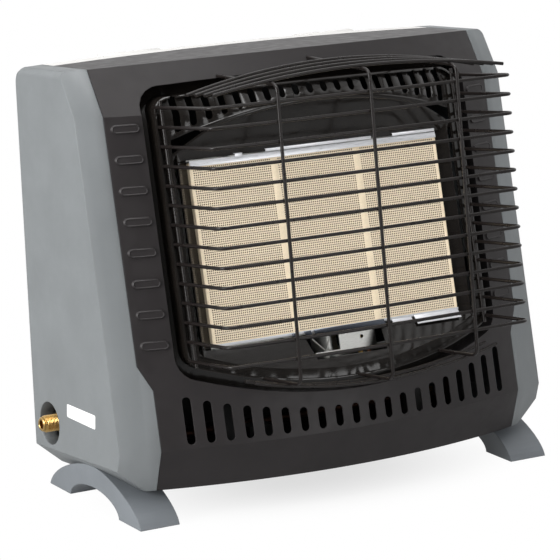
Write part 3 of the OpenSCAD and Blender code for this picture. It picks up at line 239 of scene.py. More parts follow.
class Nodes:
    """The node tree of a material or world under construction, with short calls for its nodes."""

    def __init__(self, owner):
        self.owner = owner
        owner.use_nodes = True
        self.tree = owner.node_tree
        self.shader = self.tree.nodes.get("Principled BSDF")
        self.coordinates = self.add("ShaderNodeTexCoord").outputs
        self.place = self.coordinates["Object"]

    def add(self, kind, **values):
        node = self.tree.nodes.new(kind)
        for key, value in values.items():
            setattr(node, key, value)
        return node

    def link(self, a, b):
        self.tree.links.new(a, b)

    def set(self, **values):
        """Sets sockets of the shader, with underscores for spaces."""
        for key, value in values.items():
            self.shader.inputs[key.replace("_", " ")].default_value = value
        return self.owner

    def noise(self, scale, detail=2.0, rough=0.5, place=None):
        node = self.add("ShaderNodeTexNoise")
        node.inputs["Scale"].default_value = scale
        node.inputs["Detail"].default_value = detail
        node.inputs["Roughness"].default_value = rough
        self.link(place or self.place, node.inputs["Vector"])
        return node.outputs["Fac"]

    def split(self, vector):
        """The X, Y and Z of a vector."""
        node = self.add("ShaderNodeSeparateXYZ")
        self.link(vector, node.inputs[0])
        return node.outputs

    def stretch(self, x, y, z):
        """Object coordinates scaled by x, y and z."""
        node = self.add("ShaderNodeMapping")
        node.inputs["Scale"].default_value = (x, y, z)
        self.link(self.place, node.inputs["Vector"])
        return node.outputs["Vector"]

    def ramp(self, fac, stops):
        """Colour ramp with two (position, colour or grey) stops."""
        node = self.add("ShaderNodeValToRGB")
        for point, (at, colour) in zip(node.color_ramp.elements, stops):
            point.position = at
            point.color = (*colour, 1) if hasattr(colour, "__len__") else (colour, colour, colour, 1)
        self.link(fac, node.inputs["Fac"])
        return node.outputs["Color"]

    def math(self, kind, a, b, clamp=False):
        node = self.add("ShaderNodeMath", operation=kind, use_clamp=clamp)
        for socket, value in zip(node.inputs, (a, b)):
            if isinstance(value, (int, float)):
                socket.default_value = value
            else:
                self.link(value, socket)
        return node.outputs[0]

    def fade(self, value, start, end, low, high):
        """Goes smoothly from low to high while the value goes from start to end."""
        node = self.add("ShaderNodeMapRange", interpolation_type="SMOOTHSTEP")
        self.link(value, node.inputs["Value"])
        ends = {"From Min": start, "From Max": end, "To Min": low, "To Max": high}
        for name, number in ends.items():
            node.inputs[name].default_value = number
        return node.outputs["Result"]

    def seen_plainly(self):
        """1 for the camera, for gloss and for glass, and 0 for plain light."""
        ray = self.add("ShaderNodeLightPath").outputs
        sharp = self.math("MAXIMUM", ray["Is Glossy Ray"], ray["Is Transmission Ray"])
        return self.math("MAXIMUM", ray["Is Camera Ray"], sharp)

    def bump(self, height, strength, distance, edge=0.0):
        """Fine relief; edge is the radius over which sharp edges are shaded as rounded."""
        node = self.add("ShaderNodeBump")
        if edge:
            rounding = self.add("ShaderNodeBevel", samples=6)
            rounding.inputs["Radius"].default_value = edge
            self.link(rounding.outputs["Normal"], node.inputs["Normal"])
        node.inputs["Strength"].default_value = strength
        node.inputs["Distance"].default_value = distance
        self.link(height, node.inputs["Height"])
        self.link(node.outputs["Normal"], self.shader.inputs["Normal"])

    def wander(self, fac, low, high, socket):
        """Lets a socket go between two colours or greys with the middle of a noise."""
        self.link(self.ramp(fac, [(0.3, low), (0.7, high)]), self.shader.inputs[socket])

    def vary(self, colour, fac, spread):
        """Base colour that wanders by spread to either side of colour."""
        low = [c * (1 - spread) for c in colour]
        high = [min(1, c * (1 + spread)) for c in colour]
        self.wander(fac, low, high, "Base Color")

    def vary_rough(self, fac, low, high):
        """Roughness that wanders from low to high."""
        self.wander(fac, low, high, "Roughness")


def new_finish(name):
    """A new material, ready for its nodes."""
    return Nodes(bpy.data.materials.new(name))


def layered(name, colour, tone, rough, relief, **sockets):
    """A finish of three noises, each given by scale and detail and then by how it is used."""
    n = new_finish(name)
    n.vary(colour, n.noise(*tone[:2]), *tone[2:])
    n.vary_rough(n.noise(*rough[:2]), *rough[2:])
    n.bump(n.noise(*relief[:2]), *relief[2:])
    return n.set(**sockets)


def powder_coat(name, colour, rough=0.46, grain=COAT_GRAIN):
    """Baked powder coat: fine orange peel and an even satin."""
    n = new_finish(name)
    n.vary(colour, n.noise(38, 3), 0.10)
    n.vary_rough(n.noise(90, 2), rough - 0.05, rough + 0.06)
    peel = n.math("ADD", n.noise(900, 2), n.math("MULTIPLY", n.noise(2600, 1), 0.6))
    n.bump(peel, 0.35, grain, COATED_EDGE)
    return n.set(Specular_IOR_Level=0.3)


def coated_outside(name, colour, inside, rough):
    """Powder coat on the outer faces of a rear sheet; its faces towards the front take the given dark
    colour, painted shade for the casing's interior.
    """
    n = new_finish(name)
    facing = n.split(n.coordinates["Normal"])
    turned = n.math("ADD", facing["Y"], n.math("MULTIPLY", facing["Z"], 0.8))
    side = n.math("ADD", n.math("MULTIPLY", turned, 4.0), 0.8, clamp=True)
    n.link(n.ramp(side, [(0.2, inside), (0.8, colour)]), n.shader.inputs["Base Color"])
    n.vary_rough(n.noise(90, 2), rough - 0.05, rough + 0.06)
    n.bump(n.noise(900, 2), 0.35, COAT_GRAIN)
    return n.set(Specular_IOR_Level=0.3)


def moulded_plastic(name, colour, rough=0.5, grain=0.00009):
    """Injection moulding with a fine spark-eroded grain."""
    n = new_finish(name)
    n.vary(colour, n.noise(22, 3), 0.05)
    n.vary_rough(n.noise(60, 2), rough - 0.05, rough + 0.05)
    eroded = n.math("ADD", n.noise(1500, 3, 0.7), n.math("MULTIPLY", n.noise(420, 1), 0.35))
    n.bump(eroded, 0.32, grain, MOULDED_EDGE)
    return n.set(Specular_IOR_Level=0.45)


def enamel(name, colour, rough):
    """Fired gloss enamel: slow waves that bend its reflections."""
    satin = (55, 3, rough - 0.04, rough + 0.06)
    return layered(name, colour, (30, 2, 0.15), satin, (24, 2, 0.5, 0.0006),
                   Specular_IOR_Level=0.42, Coat_Weight=0.12, Coat_Roughness=0.06)


def bare_metal(name, colour, rough, along=(1, 60, 60), metallic=1.0):
    """Bare rolled or drawn metal with fine marks along its length."""
    n = new_finish(name)
    marks = n.noise(34, 4, 0.6, n.stretch(*along))
    n.vary(colour, marks, 0.14)
    n.vary_rough(marks, rough - 0.08, rough + 0.1)
    n.bump(marks, 0.4, 0.00002)
    return n.set(Metallic=metallic)


def turned_brass(name, colour):
    """Turned brass with tool marks and a slight tarnish."""
    n = new_finish(name)
    marks = n.noise(60, 3, 0.6, n.stretch(90, 3, 3))
    n.vary(colour, n.noise(140, 3), 0.16)
    n.vary_rough(marks, 0.2, 0.36)
    n.bump(marks, 0.3, 0.00002)
    return n.set(Metallic=1.0)


def rubber(name, colour):
    """Matt black rubber."""
    return layered(name, colour, (80, 3, 0.2), (200, 2, 0.72, 0.86), (1400, 2, 0.4, 0.0001))


def ceramic_body(name, colour, rough=0.82):
    """Unglazed ceramic: a dry, slightly speckled surface."""
    n = new_finish(name)
    speck = n.noise(700, 3, 0.7)
    n.vary(colour, speck, 0.07)
    n.vary_rough(n.noise(120, 2), rough - 0.06, rough + 0.08)
    n.bump(speck, 0.35, 0.00012)
    return n.set(Specular_IOR_Level=0.3)


def glazed_ceramic(name, colour):
    """Glazed porcelain of the spark electrode."""
    return layered(name, colour, (90, 2, 0.04), (140, 2, 0.12, 0.22), (160, 2, 0.2, 0.0001),
                   Coat_Weight=0.4)


def plain_sheet(name, colour):
    """Satin plastic sheet with nothing printed on it."""
    return layered(name, colour, (260, 2, 0.03), (300, 2, 0.38, 0.5), (900, 2, 0.2, 0.00003))


# ---- settings


def colour_prop(name, description, default):
    return FloatVectorProperty(
        name=name, description=description, subtype="COLOR", size=3, min=0, max=1, default=default)


def size_prop(name, description, default, low=0.0):
    return FloatProperty(name=name, description=description, default=default, min=low)


def count_prop(name, description, default):
    return IntProperty(name=name, description=description, default=default, min=1)


class HeaterFinishes(bpy.types.PropertyGroup):
    """Colours of the heater's surfaces."""

    panel: colour_prop("Panel", "Charcoal powder coat of the front", (0.0185, 0.016, 0.0165))
    caps: colour_prop("End caps", "Grey of the moulded end caps", (0.152, 0.163, 0.168))
    feet: colour_prop("Feet", "Grey of the feet", (0.150, 0.164, 0.178))
    cover: colour_prop("Rear cover", "Pale coat of the rear cover", (0.66, 0.65, 0.63))
    enamel: colour_prop("Enamel", "Gloss enamel of the bezel and reflectors", (0.009, 0.0075, 0.0065))
    guard: colour_prop("Guard", "Satin coat of the guard wires", (0.010, 0.0078, 0.0072))
    plaque: colour_prop("Plaques", "Ceramic of the burner plaques", (0.94, 0.80, 0.60))
    # Painted shade: the holes' walls and bottoms are coloured dark brown for the shade in them.
    painted_hole_shade: colour_prop("Holes", "Inside of the burner holes", (0.30, 0.21, 0.13))
    cement: colour_prop("Cement", "Cement between the plaques", (0.93, 0.79, 0.58))
    brass: colour_prop("Brass", "Brass of the gas fittings", (0.60, 0.39, 0.14))
    steel: colour_prop("Bright steel", "Bright rim of the burner", (0.80, 0.81, 0.84))


class GuardSizes(bpy.types.PropertyGroup):
    """Sizes of the wire guard, in millimetres."""

    wire_d: size_prop("Wire", "Diameter of the wires", 3.2)
    weld: size_prop("Weld", "How far one wire is pressed into another", 0.5)
    hoop_n: count_prop("Hoops", "Number of hoops", 14)
    hoop_pitch: size_prop("Pitch", "Pitch of the hoops", 17.3)
    hoop_half: size_prop("Half width", "Half width of a hoop", 156.0)
    hoop_bow: size_prop("Bow", "How far a hoop's front is bowed", 8.0)
    hoop_corner: size_prop("Corner", "Radius of a hoop's corners", 9.0)
    guard_y: size_prop("Reach", "Distance of the top hoop's corners in front of the datum", 135.5)
    guard_z: size_prop("Height", "Height of the top hoop's corners", 373.3)
    guard_lean: size_prop("Lean", "Backward lean of the guard in degrees", 3.1)
    upright_x: size_prop("Uprights", "Distance of the outer uprights from the middle", 92.5)
    top_arc_n: count_prop("Top arcs", "Number of arched wires on top", 4)
    top_pitch: size_prop("Top pitch", "Distance between the top arcs", 16.0)
    top_first: size_prop("Top first", "Distance of the foremost top arc behind the corners", 3.0)
    top_end: size_prop("Top ends", "Height of the top arcs' ends above the top hoop", 10.5)
    top_tip: size_prop("Top span", "Half span of the top arcs", 150.0)
    top_bow: size_prop("Top rise", "Rise of the foremost top arc", 12.5)
    top_step: size_prop("Top step", "How much more each top arc behind it rises", 1.8)
    bottom_arc_n: count_prop("Bottom arcs", "Number of wires below", 2)
    bottom_pitch: size_prop("Bottom pitch", "Distance between the bottom arcs", 18.0)
    bottom_first: size_prop("Bottom first", "Distance of the foremost wire below", 12.0)
    bottom_tip: size_prop("Bottom span", "Half span of the bottom arcs", 127.0)
    bottom_drop: size_prop("Drop", "Drop of the lowest wires below the lowest hoop", 34.0)
    bottom_bow: size_prop("Sag", "How far the lowest wires would sag over the top arcs' span", 22.0)


class PlaqueSizes(bpy.types.PropertyGroup):
    """Sizes of the ceramic plaques, in millimetres."""

    width: size_prop("Width", "Width of a plaque", 82.0)
    height: size_prop("Height", "Height of a plaque", 162.0)
    thick: size_prop("Thickness", "Thickness of a plaque", 13.0)
    gap: size_prop("Gap", "Gap between plaques", 5.0)
    depth: size_prop("Depth", "Depth of the faces behind the front panel", 27.0)
    foot: size_prop("Foot", "Height of the lower edges above the crease, along the face", 92.0)
    hole_pitch: size_prop("Hole pitch", "Pitch of the burner holes", 2.05)
    hole_d: size_prop("Hole", "Diameter of a burner hole", 1.4)
    margin: size_prop("Margin", "Plain margin around the holes", 0.6)


class InletSizes(bpy.types.PropertyGroup):
    """Sizes of the gas inlet, in millimetres."""

    tip_x: size_prop("Tip", "Place of the fitting's tip along X", -234.0, -260)
    y: size_prop("Y", "Distance of the inlet behind the datum", 79.5)
    z: size_prop("Z", "Height of the inlet", 76.0)
    nose: size_prop("Nose", "Length of the flare cone", 2.5)
    thread_d: size_prop("Thread", "Outside diameter of the thread", 15.88)
    thread_len: size_prop("Thread length", "Length of the thread", 16.0)
    thread_deep: size_prop("Thread depth", "Depth of the thread", 0.86)
    pitch: size_prop("Pitch", "Pitch of the thread", 1.411)
    bore: size_prop("Bore", "Bore of the inlet", 8.0)
    hex_d: size_prop("Hexagon", "Size of the hexagon over its corners", 23.0)
    hex_len: size_prop("Hexagon length", "Length of the hexagon", 9.0)
    body_d: size_prop("Body", "Diameter of the body behind the hexagon", 19.0)
    neck_d: size_prop("Neck", "Diameter of the neck in the bracket", 13.88)
    bracket_x: size_prop("Bracket", "Place of the bracket along X", -188.6, -260)


class PadSizes(bpy.types.PropertyGroup):
    """Sizes of the pads that are pressed out of the front panel, in millimetres."""

    count: count_prop("Pads", "Number of pads on each side", 8)
    pitch: size_prop("Pitch", "Pitch of the pads", 27.2)
    length: size_prop("Length", "Length of a pad", 24.5)
    height: size_prop("Height", "Height of a pad", 8.6)
    rise: size_prop("Rise", "How far a pad stands out", 1.3)
    x: size_prop("X", "Distance of the pads from the middle", 184.7)
    mid_z: size_prop("Middle", "Height of the middle of the row", 256.4)


class RollSizes(bpy.types.PropertyGroup):
    """Sizes of the rolled edge under the bezel's arched field, in millimetres."""

    half: size_prop("Half span", "Half span of the rolled edge", 120.0)
    arch_z: size_prop("Height", "Height of the arch in the middle", 364.0)
    arch_r: size_prop("Radius", "Radius of the arch", 430.0)
    wire_d: size_prop("Roll", "Thickness of the roll", 5.6)


class StudioSettings(bpy.types.PropertyGroup):
    """Camera and lights."""

    lens: size_prop("Lens", "Focal length for a 36 mm sensor", 196.3)
    azimuth: size_prop("Azimuth", "Side of the view, in degrees", -30.115, -180)
    elevation: size_prop("Elevation", "Height of the view, in degrees", 12.757, -90)
    roll: size_prop("Roll", "Turn of the camera about its own axis, in degrees", -1.054, -180)
    distance: size_prop("Distance", "Distance of the camera in metres", 2.8061)
    key_watts: size_prop("Key", "Power of the key light on the left", 72.0)
    fill_watts: size_prop("Fill", "Power of the fill light in front", 13.0)
    top_watts: size_prop("Top", "Power of the light overhead", 36.0)
    ambient: size_prop("Ambient", "Strength of the even light", 0.36)
    dark_front: size_prop("Dark front", "Strength of what gloss sees in front of the heater", 0.10)


# ---- wires of the guard

# Steps along a hoop's front, a rod and a corner, and the radius of the uprights' bends.
HOOP_STEPS, ROD_STEPS, CORNER_STEPS = 40, 32, 8
UPRIGHT_BEND = 8.0


def arc(cx, cy, r, a0, a1, n):
    """Points on an arc from angle a0 to a1, in degrees."""
    angles = [math.radians(a0 + (a1 - a0) * i / n) for i in range(n + 1)]
    return [(cx + r * math.cos(a), cy + r * math.sin(a)) for a in angles]


def bow_radius(half, bow):
    """Radius of an arc that bows by bow over a span of +-half."""
    return (half * half + bow * bow) / (2 * bow)


def hoop_path(half, bow, corner, leg_y):
    """Bowed front with two corners and two legs that run back to leg_y."""
    r = bow_radius(half, bow)
    swing = math.degrees(math.asin((half - corner) / (r - corner)))
    leg_0 = r - bow - (r - corner) * math.cos(math.radians(swing))
    front = arc(0, r - bow, r, 270 - swing, 270 + swing, HOOP_STEPS)
    left = arc(corner - half, leg_0, corner, 180, 270 - swing, CORNER_STEPS)
    right = arc(half - corner, leg_0, corner, 270 + swing, 360, CORNER_STEPS)
    return [(-half, leg_y)] + left + front[1:-1] + right + [(half, leg_y)]


def bow_at(x, half, bow):
    """Y at x of such an arc, from -bow in its middle to 0 at its ends."""
    r = bow_radius(half, bow)
    return r - bow - math.sqrt(r * r - x * x)


def rounded(points, radius, n=CORNER_STEPS):
    """A path through points of one plane with its corners rounded."""
    out = [points[0]]
    for before, at, after in zip(points, points[1:], points[2:]):
        a, p, b = Vector(before), Vector(at), Vector(after)
        u, v = (a - p).normalized(), (b - p).normalized()
        half = math.acos(max(-1, min(1, u.dot(v)))) / 2
        trim = radius / math.tan(half)
        centre = p + (u + v).normalized() * (radius / math.sin(half))
        first, last = p + u * trim - centre, p + v * trim - centre
        for i in range(n + 1):
            mixed = first.lerp(last, i / n).normalized() * radius
            out.append(tuple(centre + mixed))
    return out + [points[-1]]


def points_of(node, matrix):
    """A CAD node's points in the given frame."""
    inverse = matrix.inverted()
    return [inverse @ vertex.co for vertex in frame["nodes"][node].data.vertices]


def reach_of(node, matrix, x, z, near=12.0):
    """Greatest Y, in the given frame, of the node's points near x and z."""
    return max(p.y for p in points_of(node, matrix) if abs(p.x - x) < near and abs(p.z - z) < near)


def in_plane(path, matrix):
    """A path of (x, y) points as row-frame points, laid out by matrix."""
    return [matrix @ Vector((x, y, 0)) for x, y in path]


def hoop_paths(s):
    """The hoops, from the top one down."""
    guard = guard_frame(s)
    for i in range(s.hoop_n):
        z = -i * s.hoop_pitch
        leg_y = reach_of("guard_hoops", guard, s.hoop_half, z, s.wire_d)
        path = hoop_path(s.hoop_half, s.hoop_bow, s.hoop_corner, leg_y)
        yield in_plane(path, guard @ Matrix.Translation((0, 0, z)))


def cross_rod(half, bow, tip):
    """Rod with blunt ends at x = +-tip, bowed by bow over a span of +-half."""
    places = [tip * (2 * i / ROD_STEPS - 1) for i in range(ROD_STEPS + 1)]
    return [(x, bow_at(x, half, bow)) for x in places]


def top_arc_paths(s):
    """The arched wires over the guard, each a little higher than the one before it."""
    for i in range(s.top_arc_n):
        place = Matrix.Translation((0, s.top_first + i * s.top_pitch, s.top_end)) @ tilt_x(90)
        rod = cross_rod(s.top_tip, s.top_bow + i * s.top_step, s.top_tip)
        yield in_plane(rod, guard_frame(s) @ place)


def bottom_level(s):
    """Height of the lowest wires before they sag."""
    return s.bottom_bow - s.bottom_drop - (s.hoop_n - 1) * s.hoop_pitch


def bottom_arc_paths(s):
    """The sagging wires under the guard."""
    low = bottom_level(s)
    for i in range(s.bottom_arc_n):
        place = Matrix.Translation((0, s.bottom_first + i * s.bottom_pitch, low)) @ tilt_x(-90)
        yield in_plane(cross_rod(s.top_tip, s.bottom_bow, s.bottom_tip), guard_frame(s) @ place)


def upright_paths(s):
    """Uprights whose upper returns lie under the top arcs and rise with them."""
    guard, over = guard_frame(s), s.wire_d - s.weld

    def arc_z(x, i):
        return s.top_end - bow_at(x, s.top_tip, s.top_bow + i * s.top_step) - over

    def return_z(x, y):
        last = s.top_arc_n - 1
        rise = (arc_z(x, last) - arc_z(x, 0)) / (last * s.top_pitch)
        return arc_z(x, 0) + rise * (y - s.top_first)

    for x in (-s.upright_x, 0, s.upright_x):
        front = bow_at(x, s.hoop_half, s.hoop_bow) - over
        low = bottom_level(s) + bow_at(x, s.top_tip, s.bottom_bow) + over
        back = reach_of("guard_uprights", guard, x, arc_z(x, 0))
        ends = [(back, return_z(x, back)), (reach_of("guard_uprights", guard, x, low), low)]
        path = rounded([ends[0], (front, return_z(x, front)), (front, low), ends[1]], UPRIGHT_BEND)
        yield [guard @ Vector((x, p[0], p[1])) for p in path]


def post_paths(s):
    """Straight posts inside the hoops' legs, between the ends of the CAD's posts."""
    guard = guard_frame(s)
    points = points_of("guard_side_posts", guard)
    for side in (-1, 1):
        mine = [p for p in points if p.x * side > 0]
        x = side * (s.hoop_half - s.wire_d + s.weld)
        ends = []
        for z in (max(p.z for p in mine), min(p.z for p in mine)):
            near = [p.y for p in mine if abs(p.z - z) < s.wire_d]
            ends.append(guard @ Vector((x, sum(near) / len(near), z)))
        yield ends


WIRES = {
    "guard_hoops": hoop_paths,
    "guard_top_arcs": top_arc_paths,
    "guard_bottom_arcs": bottom_arc_paths,
    "guard_uprights": upright_paths,
    "guard_side_posts": post_paths,
}


class HEATER_OT_guard(bpy.types.Operator):
    """Draws the guard's wires as smooth round wire"""

    bl_idname = "heater.guard"
    bl_label = "Guard wires"

    def execute(self, context):
        sizes = context.scene.heater_guard
        coat = powder_coat("satin_guard_coat", context.scene.heater_finishes.guard, 0.3, 0.00003)
        radius = sizes.wire_d / 2 * MM
        for node, paths in WIRES.items():
            dress(wire_object(node + "_wire", paths(sizes), radius, [node]), coat)
        return {"FINISHED"}


# ---- plaques

HOLE_SIDES, HOLE_DEEP = 8, 3.0  # sides of a burner hole, and its depth in millimetres


def perforated_plate(p, left):
    """Points and faces of a plaque, and which faces line the round holes in its square cells; these get
    the painted shade.
    """
    columns, rows = (int((side - 2 * p.margin) / p.hole_pitch) for side in (p.width, p.height))
    x0 = left + (p.width - columns * p.hole_pitch) / 2
    z0 = p.foot + (p.height - rows * p.hole_pitch) / 2
    turn = [math.tau * (k + 0.5) / HOLE_SIDES for k in range(HOLE_SIDES)]
    ring = [(p.hole_d / 2 * math.cos(a), p.hole_d / 2 * math.sin(a)) for a in turn]
    verts, faces, dark, grid = [], [], [], {}
    for i in range(columns + 1):
        for j in range(rows + 1):
            grid[i, j] = len(verts)
            verts.append((x0 + i * p.hole_pitch, p.depth, z0 + j * p.hole_pitch))
    for i in range(columns):
        for j in range(rows):
            cx, cz = x0 + (i + 0.5) * p.hole_pitch, z0 + (j + 0.5) * p.hole_pitch
            rim = range(len(verts), len(verts) + HOLE_SIDES)
            for y in (p.depth, p.depth + HOLE_DEEP):
                verts += [(cx + u, y, cz + v) for u, v in ring]
            corners = [grid[i + 1, j + 1], grid[i, j + 1], grid[i, j], grid[i + 1, j]]
            for k in range(4):
                near = [rim[(2 * k + m) % HOLE_SIDES] for m in range(3)]
                faces.append((corners[k], *near, corners[(k + 1) % 4]))
            first = len(faces)
            for a, b in zip(rim, (*rim[1:], rim[0])):
                faces.append((a, a + HOLE_SIDES, b + HOLE_SIDES, b))
            faces.append(tuple(a + HOLE_SIDES for a in rim))
            dark += range(first, len(faces))
    # plain margin, edges and back
    right, top, outer = left + p.width, p.foot + p.height, len(verts)
    for y in (p.depth, p.depth + p.thick):
        verts += [(x, y, z) for x, z in ((left, p.foot), (right, p.foot), (right, top), (left, top))]
    sides = ([grid[i, 0] for i in reversed(range(columns + 1))],
             [grid[columns, j] for j in reversed(range(rows + 1))],
             [grid[i, rows] for i in range(columns + 1)],
             [grid[0, j] for j in range(rows + 1)])
    for k, side in enumerate(sides):
        a, b = outer + k, outer + (k + 1) % 4
        faces.append((a, b, *side))
        faces.append((a, a + 4, b + 4, b))
    faces.append(tuple(range(outer + 4, outer + 8)))
    return verts, faces, dark


class HEATER_OT_plaques(bpy.types.Operator):
    """Makes the three perforated ceramic plaques"""

    bl_idname = "heater.plaques"
    bl_label = "Burner plaques"

    def execute(self, context):
        p = context.scene.heater_plaques
        ceramic = ceramic_body("plaque_ceramic", context.scene.heater_finishes.plaque)
        inside = ceramic_body("hole_shade_ceramic", context.scene.heater_finishes.painted_hole_shade)
        for i, side in enumerate(("left", "centre", "right")):
            name, left = "perforated_plaque_" + side, (i - 1) * (p.width + p.gap) - p.width / 2
            verts, faces, dark = perforated_plate(p, left)
            mesh = bpy.data.meshes.new(name)
            mesh.from_pydata([FACE @ Vector(v) for v in verts], [], faces)
            for face in dark:
                mesh.polygons[face].material_index = 1
            new_object(name, mesh, ["plaque_" + side])
            for material in (ceramic, inside):
                mesh.materials.append(material)
        return {"FINISHED"}


# ---- rim and cement of the burner

# Bent strips of the rim in the face frame, in millimetres: (from x, to x, profile of (y, z) points).
RIM_TOP = ((38, 256.9), (26.0, 256.7), (25.2, 251.4))
RIM_LOW = ((38, 90.2), (26.2, 90.3), (25.6, 92.3))
RIM_LIP = ((27.2, 260.4), (24.4, 259.8), (24.9, 257.2))
RIM_CLIP = ((26.6, 259.4), (24.6, 258.8), (24.8, 255.6))
RIM_TAB = ((26.0, 91.8), (24.2, 89.0), (20.2, 83.0))
RIM_STUB = ((26.4, 91.0), (24.8, 88.6), (24.2, 87.0))
RIM_STRIPS = (
    (-130, 130, RIM_TOP), (-130, 130, RIM_LOW), (-52, 60, RIM_LIP), (83, 129, RIM_LIP),
    (-84, -76, RIM_CLIP), (81, 129, RIM_TAB), (57, 78, RIM_STUB),
)
# Strips of the same rim by the pilot, whose dark metal is painted shade.
SHADE_STRIPS = (
    (-27, 48, ((25.2, 92.2), (23.8, 89.6), (22.4, 86.0))),
    (-50, -44, ((25.4, 91.6), (24.0, 90.2), (23.0, 87.2))),
    (-37, -30, ((25.4, 92.2), (24.0, 90.2), (23.0, 86.6))),
)
STRIP_THICK, STRIP_EDGE = 0.6, 0.12
# How far out the outer seams end, how many steps a seam has along its length, and how deep it is.
SEAM_REACH, SEAM_ROWS, SEAM_DEEP = 129.8, 54, 8.0
# How far a seam reaches over the plaques' ends and sides, stands proud, is sunk at its sides and waves.
SEAM_OVER, SEAM_LAP, SEAM_PROUD, SEAM_SUNK, SEAM_WAVE = 1.0, 0.3, 0.25, 0.1, 0.12


class HEATER_OT_rim(bpy.types.Operator):
    """Makes the bright rim around the plaques and the cement between them"""

    bl_idname = "heater.rim"
    bl_label = "Burner rim"

    def execute(self, context):
        p, f = context.scene.heater_plaques, context.scene.heater_finishes
        bright = bare_metal("polished_rim", f.steel, 0.34, (3, 60, 60), metallic=0.45)
        # Painted shade: the strips by the pilot are dark metal, standing for the shade on that part of
        # the rim.
        shaded_metal = bare_metal("shaded_rim_metal", (0.085, 0.095, 0.115), 0.18, (3, 60, 60))
        self.strips("burner_rim", RIM_STRIPS, bright)
        self.strips("pilot_shade", SHADE_STRIPS, shaded_metal)
        bm = bmesh.new()
        random = Random(7)
        outer, inner = 1.5 * p.width + p.gap, p.width / 2
        for x0, x1 in ((-SEAM_REACH, -outer), (-inner - p.gap, -inner),
                       (inner, inner + p.gap), (outer, SEAM_REACH)):
            self.seam(bm, p, x0, x1, random)
        bm.transform(FACE)
        seams = mesh_object("cement_seams", bm, ["plaque_frame"])
        dress(seams, ceramic_body("burner_cement", f.cement, 0.9))
        return {"FINISHED"}

    def strips(self, name, strips, finish):
        """Thin bent strips as one piece."""
        bm = bmesh.new()
        for x0, x1, profile in strips:
            bent_sheet(bm, profile, x0, x1, STRIP_THICK)
        soften(bm, STRIP_EDGE)
        bm.transform(FACE)
        dress(mesh_object(name, bm, ["plaque_frame"]), finish)

    def seam(self, bm, p, x0, x1, random):
        """A trowelled strip of cement with a gently uneven face."""
        low, high = p.foot - SEAM_OVER, p.foot + p.height + SEAM_OVER
        side, back = p.depth + SEAM_SUNK, p.depth + SEAM_DEEP
        left, right = x0 - SEAM_LAP, x1 + SEAM_LAP
        rings = []
        for i in range(SEAM_ROWS + 1):
            z = low + (high - low) * i / SEAM_ROWS
            face = p.depth - SEAM_PROUD + random.uniform(-SEAM_WAVE, SEAM_WAVE)
            middle = (x0 + x1) / 2 + random.uniform(-SEAM_LAP, SEAM_LAP)
            rings.append([(left, side, z), (x0, face + SEAM_SUNK, z), (middle, face, z),
                          (x1, face + SEAM_SUNK, z), (right, side, z), (right, back, z),
                          (left, back, z)])
        skin(bm, rings)


# ---- inlet, pads, roll and plate

# Sides of the turned fitting and steps in one turn of its thread; its bore, its neck, and how far apart
# two rings lie where the outline goes straight outwards or inwards.
TURNED_SIDES, THREAD_STEPS = 48, 12
BORE_DEEP, NECK_LEN, STEP = 11.0, 8.0, 0.01
# How a pad's rings step inwards, in millimetres, and how high each lies, as a share of its rise.
PAD_SLOPE = ((0, -0.15), (0.35, 0.3), (0.8, 0.8), (1.3, 1.0), (1.9, 1.06), (2.6, 1.08))
PAD_TURNS = 10
ROLL_STEPS, ROLL_BELOW = 48, 2.0  # the roll hangs this far below the points that it is laid from
# The blank plate's corners on the end cap's side: distance behind the datum, and height.
PLATE_CORNERS = ((39.9, 99.9), (-16.3, 97.3), (-14.4, 84.4), (41.7, 87.8))
PLATE_THICK, PLATE_CORNER_R, PLATE_EDGE = 0.3, 1.6, 0.08


